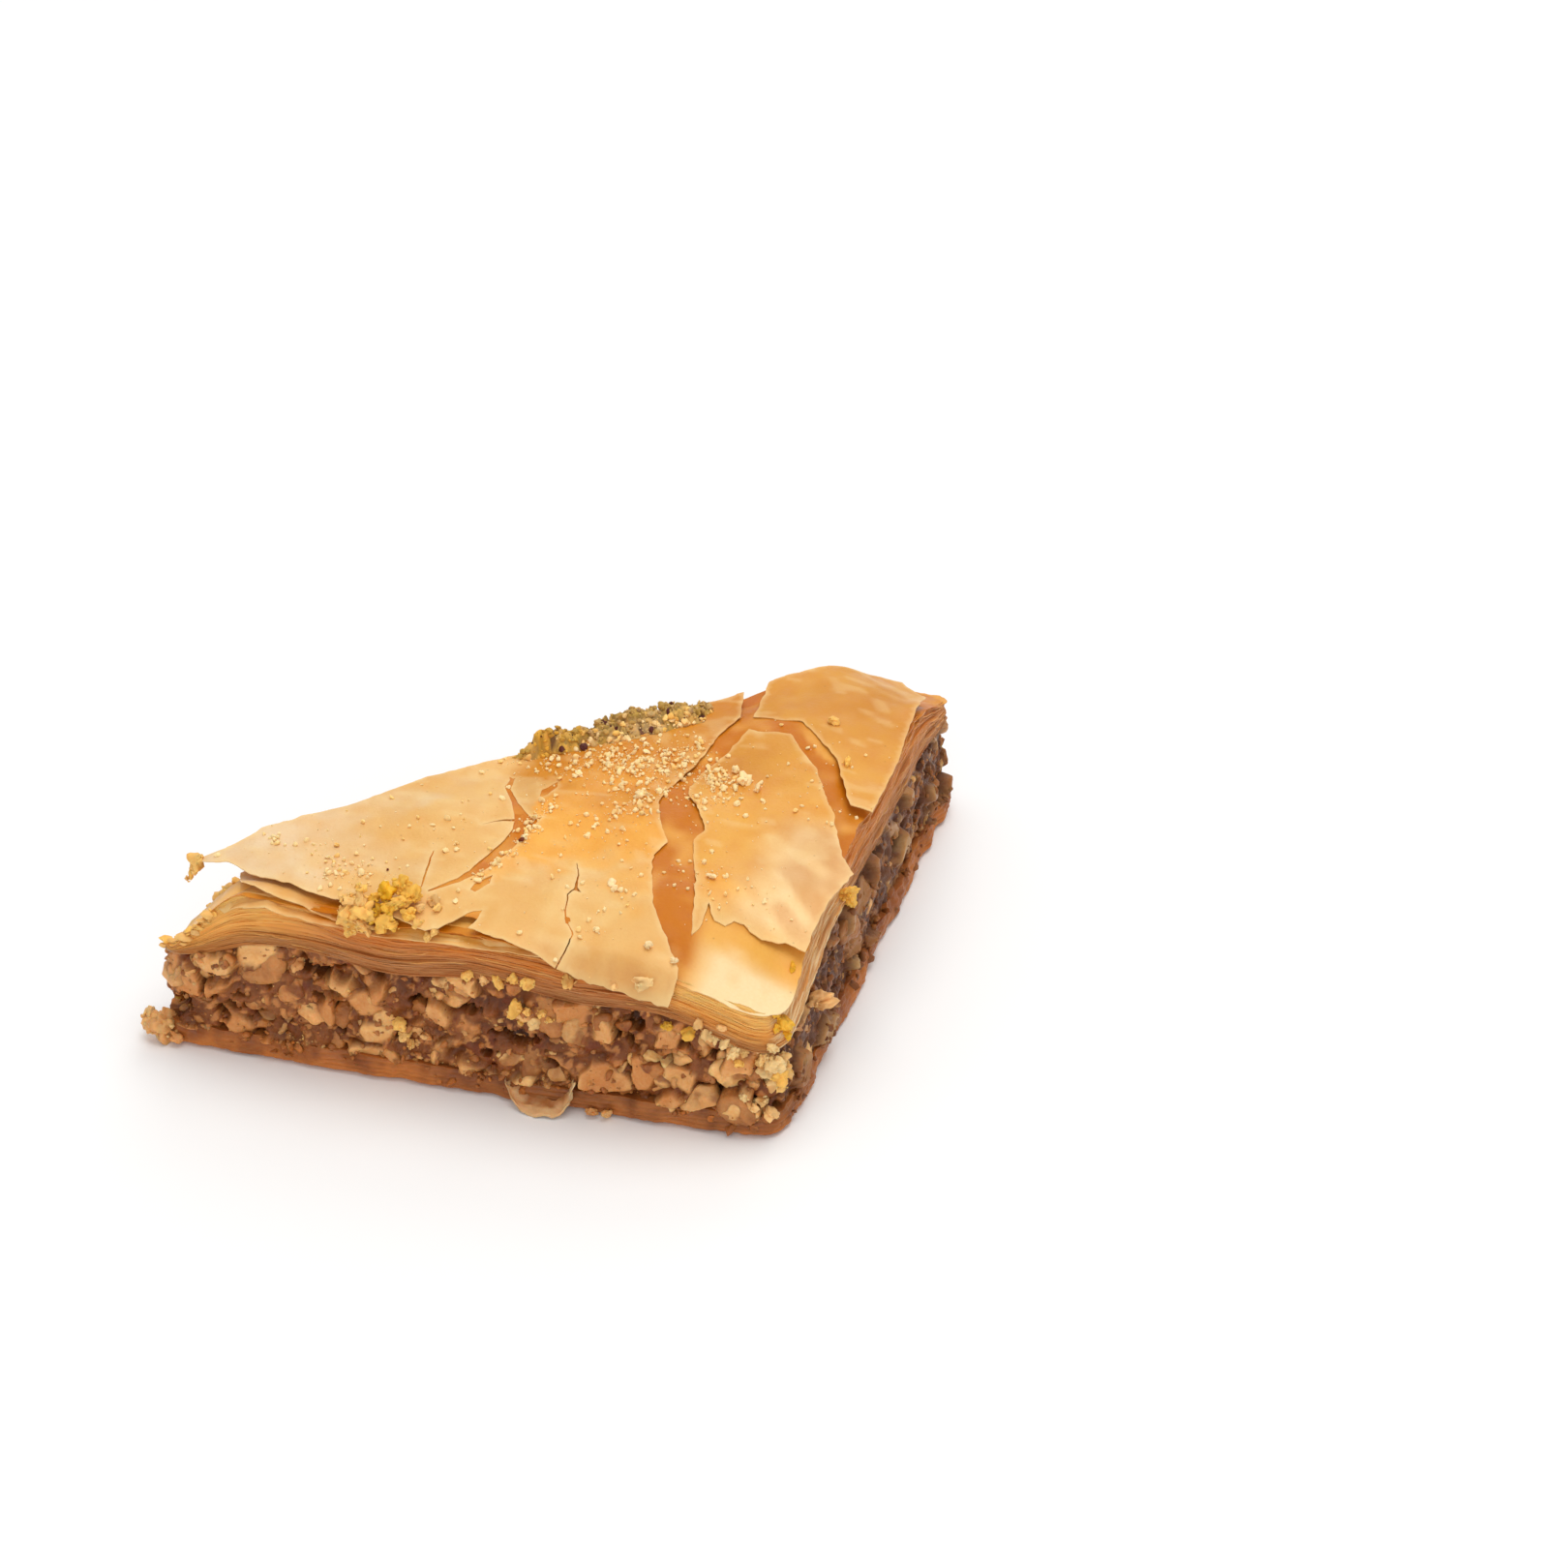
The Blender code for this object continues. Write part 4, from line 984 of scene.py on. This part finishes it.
def nut_relief(at):
    """Relief of the cut filling in millimetres, with each point's colour: nuts, brown paste and gaps, the
    gaps painted near black as shade.
    """
    fine = drift(at, 0.6, 97)
    first, second, tag, way = cells(at + 0.9 * drift(at, 1.8, 71) + 0.15 * fine, 3.1, 80)
    is_nut = (tag < 0.42) * smooth((second - first) / 0.3)
    tilt = np.column_stack([np.sin(tag * k) for k in (91.0, 57.0, 131.0)])
    face = 0.3 + 0.5 * np.sin(tag * 213.0) + 1.1 * (way * tilt).sum(axis=1)
    grain_first, _, grain_tag, _ = cells(at + 0.35 * fine, 0.85, 90)
    paste = noise(at, (0.4, 1.5, 85), (0.2, 0.7, 86), (0.08, 0.35, 89)) - 0.4
    paste = paste + 0.4 * (grain_tag > 0.35) * (0.5 - grain_first)
    gap = lumps(at * (0.8, 0.8, 1.3), 1.5, 87) + 0.3 * lumps(at, 0.5, 88)
    gap = smooth((gap - 0.26) / 0.2) * (1 - is_nut)
    relief = paste * (1 - is_nut) + np.clip(face, -0.2, 0.9) * is_nut - 1.4 * gap
    grain = smooth((grain_tag - 0.62) / 0.1) * smooth((0.62 - grain_first) / 0.2)
    tone = mix(mix(PASTE, PASTE_DARK, 0.3 - 0.8 * paste), NUT_TAN, 0.7 * grain)
    tone = mix(tone, SKIN_RED, 0.6 * smooth((0.07 - grain_tag) / 0.03))
    nut_tone = mix(NUT_TAN, NUT_PALE, 0.3 + 0.6 * np.sin(tag * 77.0) + 0.4 * lumps(at, 0.9, 74))
    # The gaps painted near black: painted shade
    tone = mix(mix(tone, nut_tone, is_nut ** 1.5), PAINTED_CREVICE_SHADE, 0.85 * gap)
    # The colours darkened on the side that faces +X: painted shadow
    return relief, tone * painted_side_shadow(at[:, 0])[:, None]


def filling_wall(finish):
    """The cut face of the filling all round, as one closed body.

    Returns its rings and the outward directions, for bedding pieces in it.
    """
    points, outward = plan(WALL_COLUMNS)
    low, high = BASE_THICK * 0.8, filling_top(*points.T) + 0.25
    rings, tones = [], []
    for share in np.linspace(0, 1, WALL_ROWS):
        at = np.column_stack([points, low + (high - low) * share])
        relief, tone = nut_relief(at)
        ends = smooth(share / 0.03) * smooth((1 - share) / 0.03)
        proud = -0.3 + 0.2 * math.sin(math.pi * share) + 0.35 * lumps(at, 5.0, 75) + relief
        rings.append(ring_at(points, outward, proud * ends - 0.6 * (1 - ends), at[:, 2]))
        tones.append(tone)
    heights = (low, filling_top(*CENTRE) + 0.25)
    ring_piece("filling_wall", rings, tones, heights, ([PASTE], [PASTE]), finish, FILLING, 70)
    return np.array(rings), outward


def bedded(points, tone, outward, size, draw, sink=0.62):
    """Tints for a piece bedded in the cut face: mottled, some with skin, brown where it sinks in."""
    at = points + draw.uniform(0, 900)
    skin = smooth((lumps(at, 1.3, 76) - 0.3) / 0.25) * (draw.random() < 0.25)
    tints = mix(mix(tone, SKIN_RED, 0.75 * skin), PASTE, 0.7 * smooth(lumps(at, 0.9, 70) * 2))
    tints = tints * (1 + noise(at, (0.18, 0.6, 77), (0.12, 0.27, 69)))[:, None] * draw.uniform(0.75, 1.08)
    sunk = smooth(sink - (points[:, :2] @ outward + 0.2 * points[:, 2]) / size * 2.1)
    return mix(tints, PASTE_DARK, 0.6 * sunk)


def nut_chunks(wall, outward, finish, draw):
    """Chopped pieces of nut bedded in the cut face."""
    heap = Heap()
    rows, count = wall.shape[:2]
    for _ in range(CHUNK_COUNT):
        i, row = draw.randrange(count), draw.randrange(4, rows - 4)
        side = outward[i][0] > 0.8
        size = (1.2 + 3.4 * draw.random() ** 2.0) * (0.75 if side else 1)
        room = size * 0.42
        place = wall[row, i].copy()
        place[2] = np.clip(place[2], wall[0, i, 2] + room, wall[-1, i, 2] - room)
        place[:2] -= outward[i] * (size * 0.3 - draw.uniform(-0.25, 0.3 - 0.2 * side))
        points, faces = cut_nut(size, outward[i], draw, 4 if size > 2.7 else 3)
        tone = mix(NUT_TAN, NUT_PALE, draw.random() * 1.4 - 0.3)
        # On the side that faces +X, pieces are more often paste-coloured and all are darkened: painted
        # shadow
        if draw.random() < (0.4 if size < 2.4 else 0.15) + 0.3 * side:
            tone = mix(PASTE, NUT_TAN, draw.random())
        heap.add(points + place, faces, bedded(points, tone, outward[i], size, draw) * painted_side_shadow(place[0]))
    heap.piece("filling_chunks", finish, FILLING, 85)


def nut_bits(wall, outward, finish, draw):
    """Small crumbs of nut and paste bedded in the cut face, one in five low down."""
    heap = Heap()
    rows, count = wall.shape[:2]
    for step in range(BIT_COUNT):
        i, row = draw.randrange(count), draw.randrange(1, rows - 1 if step % 5 else 5)
        size = 0.22 + 0.85 * draw.random() ** 2.3
        place = wall[row, i].copy()
        place[:2] -= outward[i] * size * 0.25
        points, faces = crumb(size, draw, 2 if size > 0.38 else 1)
        luck = draw.random()
        tone = mix(PASTE, NUT_TAN, draw.random()) if luck < 0.72 else mix(NUT_TAN, NUT_PALE, draw.random())
        if luck > 0.955:
            tone = mix(SKIN_RED, PASTE_DARK, draw.random())
        # Darkened on the side that faces +X: painted shadow
        tints = bedded(points, tone, outward[i], size, draw, 0.42) * painted_side_shadow(place[0])
        heap.add(points + place, faces, tints)
    heap.piece("filling_bits", finish, FILLING, 85)


def base_wall(finish):
    """The thin soaked pastry underneath, in faint layers, ragged where it was cut."""
    points, outward = plan(COLUMNS)
    x, y = points.T
    near_corner = smooth((x + 8) / 18) * smooth((-20 - y) / 6)
    rings, tones = [], []
    for share in np.linspace(0, 1, BASE_ROWS):
        at = flat(x, y, BASE_THICK * share)
        faint = 0.05 * math.sin(share * math.tau * 5) * (1 + lumps(flat(x, y, share * 2), 5.0, 61))
        rough = noise(at, (0.36, 2.6, 62), (0.18, 0.9, 63), (0.08, 0.4, 64))
        round_off = 0.7 * (1 - smooth((share + 0.02) / 0.2)) + 0.3 * smooth((share - 0.55) / 0.45)
        rings.append(ring_at(points, outward, faint + rough - round_off, at[:, 2]))
        # Darker towards the top, under the filling, as painted shadow; the lumps add darker streaks of the
        # pastry's own tone
        dark = 0.6 * share + 0.6 * lumps(at * (1, 1, 2), 3.0, 65) + 0.3 * lumps(at, 0.8, 66)
        pasty = mix(PASTE, PASTE_DARK, 0.3 + 0.6 * lumps(at, 1.1, 68))
        share_pasty = 0.85 * near_corner * smooth(share * 1.6 + 0.3 * lumps(at, 2.0, 59))
        tones.append(mix(mix(SOAKED, SOAKED_DARK, dark), pasty, share_pasty))
    ring_piece("base_wall", rings, tones, (0.0, BASE_THICK), ([SOAKED], [SOAKED]), finish, BOTTOM, 60)


def mottled(points, tone, dark, draw):
    """Tints round one tone, with a little of a dark one."""
    at = points + draw.uniform(0, 900)
    tints = mix(tone, dark, 0.5 * smooth((lumps(at, 0.9, 78) - 0.45) / 0.3))
    return tints * (1 + 0.2 * lumps(at, 0.5, 79))[:, None]


def landing(tree, x, y):
    """Where something that falls at x, y lands, and the way that the surface faces there."""
    return tree.ray_cast(Vector((x, y, FAR)), (0, 0, -1))[:2]


def seen(tree, x, y, z):
    """What the camera sees on its line of sight through the point, and the way that it faces."""
    return tree.ray_cast(Vector((x, y, z)) + VIEW * FAR, -VIEW)[:2]


def rear(along, across):
    """The point that far along the rear edge from its middle and that far in from it, or back again."""
    return (along + across) / math.sqrt(2), (along - across) / math.sqrt(2)


def mound(finish):
    """The body of the heap of ground pistachio on the rear rim, and its surface for laying grains on."""
    xy, triangles, inside = torn_sheet([rear(*p) for p in MOUND], [], 0.22, 0.35, 67)
    along, across = rear(*xy.T)
    at = flat(*xy.T)
    first, second, tag, _ = cells(at + 0.4 * lumps(at, 0.8, 81)[:, None], 1.3, 110)
    fine_first, _, fine_tag, _ = cells(at, 0.5, 120)
    whole = smooth((second - first) / 0.25)
    small = np.exp(-((along + 2.2) / 2.6) ** 2 - ((across - 1.0) / 1.7) ** 2)
    main = smooth((6.6 - np.abs(along - 8.0)) / 3.5) * (1 - smooth(np.abs(across - 1.6) / 3.4))
    grit = 0.8 * (tag - 0.4) + 0.1 * (fine_tag - 0.5) - 0.1 * fine_first - 0.2 * (1 - whole)
    rise = smooth(inside / 0.7) * (0.15 + 2.0 * small + main) + grit * smooth(inside / 0.5)
    points, faces = thick_sheet(xy, triangles, sheet_level(*xy.T) + rise, rise + 0.4)
    hue = (0.6 - along / 3.0 + 0.4 * lumps(at, 1.4, 82)).clip(0, 1)
    tone = mix(PISTACHIO_GREY, PISTACHIO_OLIVE, tag * 1.4 - 0.2)
    tone = mix(tone, PISTACHIO_YELLOW, hue * (0.4 + 0.6 * tag))
    tone = mix(tone, CRUMB_GOLD, smooth((fine_tag - 0.7) / 0.2) * 0.5)
    tone = mix(tone, PISTACHIO_SKIN, smooth((0.1 - tag) / 0.03) * 0.9)
    # Darker in the grooves between the grains: painted shade
    tone = tone * (0.6 + 0.4 * whole)[:, None]
    mesh_piece("pistachio_body", points, faces, np.vstack([tone, tone]), finish, PISTACHIO, 70)
    return BVHTree.FromPolygons(points.tolist(), faces)


def mound_grains(tree, finish):
    """Loose grains on the heap of pistachio, yellow at its left end."""
    draw = random.Random(12)
    heap = Heap()
    made = 0
    while made < GRAIN_COUNT:
        along, across = draw.uniform(-6, 15), draw.uniform(-0.2, 5.2)
        hit, normal = landing(tree, *rear(along, across))
        if hit is None:
            continue
        size = 0.16 + 0.6 * draw.random() ** 2.6
        points, faces = crumb(size, draw, 2 if size > 0.32 else 1)
        luck = draw.random()
        tone = mix(PISTACHIO_GREY, PISTACHIO_OLIVE, draw.random())
        if along < 1.0:
            tone = mix(PISTACHIO_YELLOW, PISTACHIO_OLIVE, draw.random())
        if luck < 0.05:
            tone = PISTACHIO_SKIN
        elif luck < 0.06 + 0.26 * max(0.0, across - 1.6):
            tone = mix(CRUMB_GOLD, CRUMB_CREAM, draw.random())
        tints = mottled(points, tone, PISTACHIO_SKIN, draw)
        heap.add(points + np.array(hit + normal * size * 0.15), faces, tints)
        made += 1
    heap.piece("pistachio_grains", finish, PISTACHIO)


def surface_tree():
    """Everything built so far, for laying crumbs on it. In millimetres from the long side's point."""
    points, faces, start = [], [], 0
    for piece in bpy.context.scene.objects:
        if piece.type != "MESH" or "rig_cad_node" in piece or "leaves" in piece.name:
            continue
        count = len(piece.data.vertices)
        co = np.empty(count * 3)
        piece.data.vertices.foreach_get("co", co)
        points.append(co.reshape(-1, 3) / MM + (*CENTRE, 0.0))
        faces += [[start + i for i in polygon.vertices] for polygon in piece.data.polygons]
        start += count
    return BVHTree.FromPolygons(np.vstack(points).tolist(), faces)


def clump(heap, place, size, kind, draw):
    """A crumb: a lumpy body with small grains that cling to it."""
    light, deep = CRUMB_TONES[kind]
    points, faces = crumb(size, draw, 4 if size > 1.55 else 3)
    place = np.array(place)
    place[2] = max(place[2], size * 0.4)
    heap.add(points + place, faces, mottled(points, mix(light, deep, draw.random()), deep * SYRUP, draw))
    for _ in range(round(8 * size)):
        grain = size * draw.uniform(0.09, 0.28)
        way = any_way(draw).normalized() * size * draw.uniform(0.35, 0.5)
        points, faces = crumb(grain, draw, 1 if grain < 0.28 else 2)
        at = place + (way.x, way.y, way.z * 0.7)
        at[2] = max(at[2], grain * 0.6)
        heap.add(points + at, faces, mix(light, deep, draw.random()))


def placed_clumps(heap, table, draw):
    """A crumb for each row of the table: x, y, height, size and kind."""
    for *place, size, kind in table:
        clump(heap, place, size, kind, draw)


def fringe(heap, tree, draw):
    """Flakes on the outline of the crushed left corner, as the camera sees it, and just inside it."""
    start, end, count = FRINGE
    for _ in range(count):
        share = draw.random() ** 1.8
        x, z = (a + (b - a) * share for a, b in zip(start, end))
        for edge in np.arange(x - 4, x + 3, 0.1):
            if seen(tree, edge, FRONT + 2, z)[0] is not None:
                break
        else:
            continue
        inward = draw.random() ** 2 * 0.9
        hit, normal = seen(tree, edge + inward, FRONT + 2, z - 0.3 * inward)
        if hit is None or hit.y > FRONT + 10:
            continue
        size = 0.25 + 0.9 * draw.random() ** 2
        points, faces = crumb(size, draw)
        place = np.array(hit + normal * size * 0.15)
        heap.add(points * (1.2, 0.9, 0.7) + place, faces, mix(CRUMB_GOLD, HONEY, draw.random()))


def powder(tree, finish):
    """Pale crumbs and dust strewn over the sheets, thick near the pistachio and along the long crack."""
    draw = random.Random(31)
    heap = Heap()
    for x, y, spread, count in POWDER:
        for _ in range(count):
            hit, normal = landing(tree, draw.gauss(x, spread), draw.gauss(y, spread))
            if hit is None or hit.z < 12:
                continue
            size = 0.12 + 0.45 * draw.random() ** 3.4
            points, faces = crumb(size, draw, 1 if size < 0.32 else 2)
            tone = mix(CRUMB_CREAM, CRUMB_GOLD, 0.7 * draw.random() ** 3)
            if draw.random() < 0.007:
                tone = SKIN_RED
            heap.add(points + np.array(hit + normal * size * 0.25), faces, tone)
    for x, y, size, kind in TOP_CRUMBS:
        hit, normal = landing(tree, x, y)
        clump(heap, hit + normal * size * 0.3, size, kind, draw)
    placed_clumps(heap, CLUMPS, draw)
    fringe(heap, tree, draw)
    heap.piece("sheet_crumbs", finish, PASTRY)


def wall_crumbs(tree, finish):
    """Crumbs that cling to the cut front and right-angled corner, each on what it touches there."""
    draw = random.Random(32)
    heap = Heap()
    for x, z, size, kind in FRONT_CRUMBS:
        hit, _ = seen(tree, x, FRONT - 0.5, z)
        clump(heap, hit + VIEW * size * 0.15, size, kind, draw)
    placed_clumps(heap, SIDE_CRUMBS, draw)
    heap.piece("filling_crumbs", finish, FILLING)


def base_crumbs(finish):
    """Crumbs beside the left corner and below the front, and along the base all round."""
    draw = random.Random(33)
    heap = Heap()
    placed_clumps(heap, STRAY, draw)
    points, outward = plan(WALL_COLUMNS)
    for _ in range(BASE_CRUMB_COUNT):
        i = draw.randrange(len(points))
        size = 0.3 + 0.9 * draw.random() ** 2
        place = (*(points[i] - outward[i] * size * 0.22), draw.uniform(0.8, 2.7))
        body, faces = crumb(size, draw)
        tints = bedded(body, mix(PASTE, SOAKED, draw.random()), outward[i], size, draw)
        # Darkened on the side that faces +X: painted shadow
        heap.add(body + place, faces, tints * painted_side_shadow(points[i][0]))
    heap.piece("base_crumbs", finish, BOTTOM)


def scrap(finish):
    """The scrap of leaf that curls out of the base like a lip, standing up at its right end."""
    steps, across = (np.linspace(0, 1, count) for count in SCRAP_GRID)
    knots = np.linspace(0, 1, len(SCRAP))
    outer, inner = (np.column_stack([np.interp(steps, knots, line) for line in rim.T])
                    for rim in np.array(SCRAP).transpose(1, 0, 2))
    rows = []
    for share in across:
        row = outer * (1 - share) + inner * share
        row[:, 2] -= 0.5 * math.sin(math.pi * share) * smooth(row[:, 2] - 0.5)
        row += 0.24 * drift(row, 0.9, 91)
        row += 0.12 * drift(row, 0.4, 94)
        row[:, 2] = np.maximum(row[:, 2], 0.3)
        rows.append(row)
    skin = np.concatenate([rows, np.array(rows[::-1]) - (0, 0, 0.28)])
    grid = grid_faces(*skin.shape[:2])
    faces = grid[:, :-1].reshape(-1, 4).tolist() + [grid[::-1, 0, 0].tolist(), grid[:, -1, 0].tolist()]
    body = skin.reshape(-1, 3)
    rim = np.repeat(np.concatenate([1 - across, 1 - across[::-1]]), len(steps))
    # Brown towards the base, in its hollow, as painted shade; paler towards the outer rim
    tone = mix(PASTE, FOLD, smooth(rim * 1.4) * 0.9 + 0.4 * lumps(body, 0.7, 94))
    tone = mix(tone, CORNER, smooth((body[:, 0] - 10.2) / 1.2) * 0.7)
    mesh_piece("scrap", body, faces, tone, finish, BOTTOM, 60)


def stage():
    """White floor, soft lights and surroundings."""
    mesh = bpy.data.meshes.new("floor")
    mesh.from_pydata([(-3, -3, 0), (3, -3, 0), (3, 3, 0), (-3, 3, 0)], [], [(0, 1, 2, 3)])
    floor = add_object("floor", mesh)
    paper = bpy.data.materials.new("floor_paper")
    paper.use_nodes = True
    set_inputs(paper.node_tree.nodes["Principled BSDF"], {"Base Color": PAPER_WHITE, "Roughness": 0.9})
    mesh.materials.append(paper)

    world = bpy.data.worlds.new("studio")
    bpy.context.scene.world = world
    world.use_nodes = True
    set_inputs(world.node_tree.nodes["Background"], {"Color": (1, 1, 1, 1), "Strength": 0.45})
    for name, place, size, watts, colour in LAMPS:
        light = bpy.data.lights.new(name, "AREA")
        light.size = size
        light.energy = watts
        light.color = colour
        made = add_object(name, light)
        made.location = place
        made.rotation_euler = (-Vector(place)).to_track_quat("-Z", "Y").to_euler()


def camera():
    """The photograph's camera, with the optical axis through the middle of the picture."""
    right = Vector((math.cos(AZIMUTH), math.sin(AZIMUTH), 0))
    up = VIEW.cross(right)
    across, down = ((PICTURE / 2 - pixel) / PIXELS_PER_MM for pixel in TARGET_PIXEL)
    aim = Vector(TARGET) + right * across - up * down
    place = (aim + VIEW * DISTANCE - Vector((*CENTRE, 0))) * MM
    data = bpy.data.cameras.new("camera")
    data.sensor_width = 36
    data.lens = PIXELS_PER_MM * DISTANCE * data.sensor_width / PICTURE
    made = add_object("camera", data)
    made.matrix_world = Matrix.Translation(place) @ Matrix((right, up, VIEW)).transposed().to_4x4()
    bpy.context.scene.camera = made


def build():
    """Makes every piece."""
    finish = {name: food_material(name, *numbers) for name, numbers in FINISHES.items()}
    sheets(finish["filo"])
    leaf_wall(finish["filo_edges"])
    loose_leaves(finish["filo"])
    wall, outward = filling_wall(finish["walnut"])
    draw = random.Random(5)
    nut_chunks(wall, outward, finish["walnut"], draw)
    nut_bits(wall, outward, finish["walnut"], draw)
    base_wall(finish["soaked_filo"])
    tree = surface_tree()
    mound_grains(mound(finish["pistachio"]), finish["pistachio"])
    powder(tree, finish["dust"])
    wall_crumbs(tree, finish["dust"])
    base_crumbs(finish["soaked_filo"])
    scrap(finish["soaked_filo"])


build()
stage()
camera()
bpy.context.scene.view_settings.view_transform = "Standard"
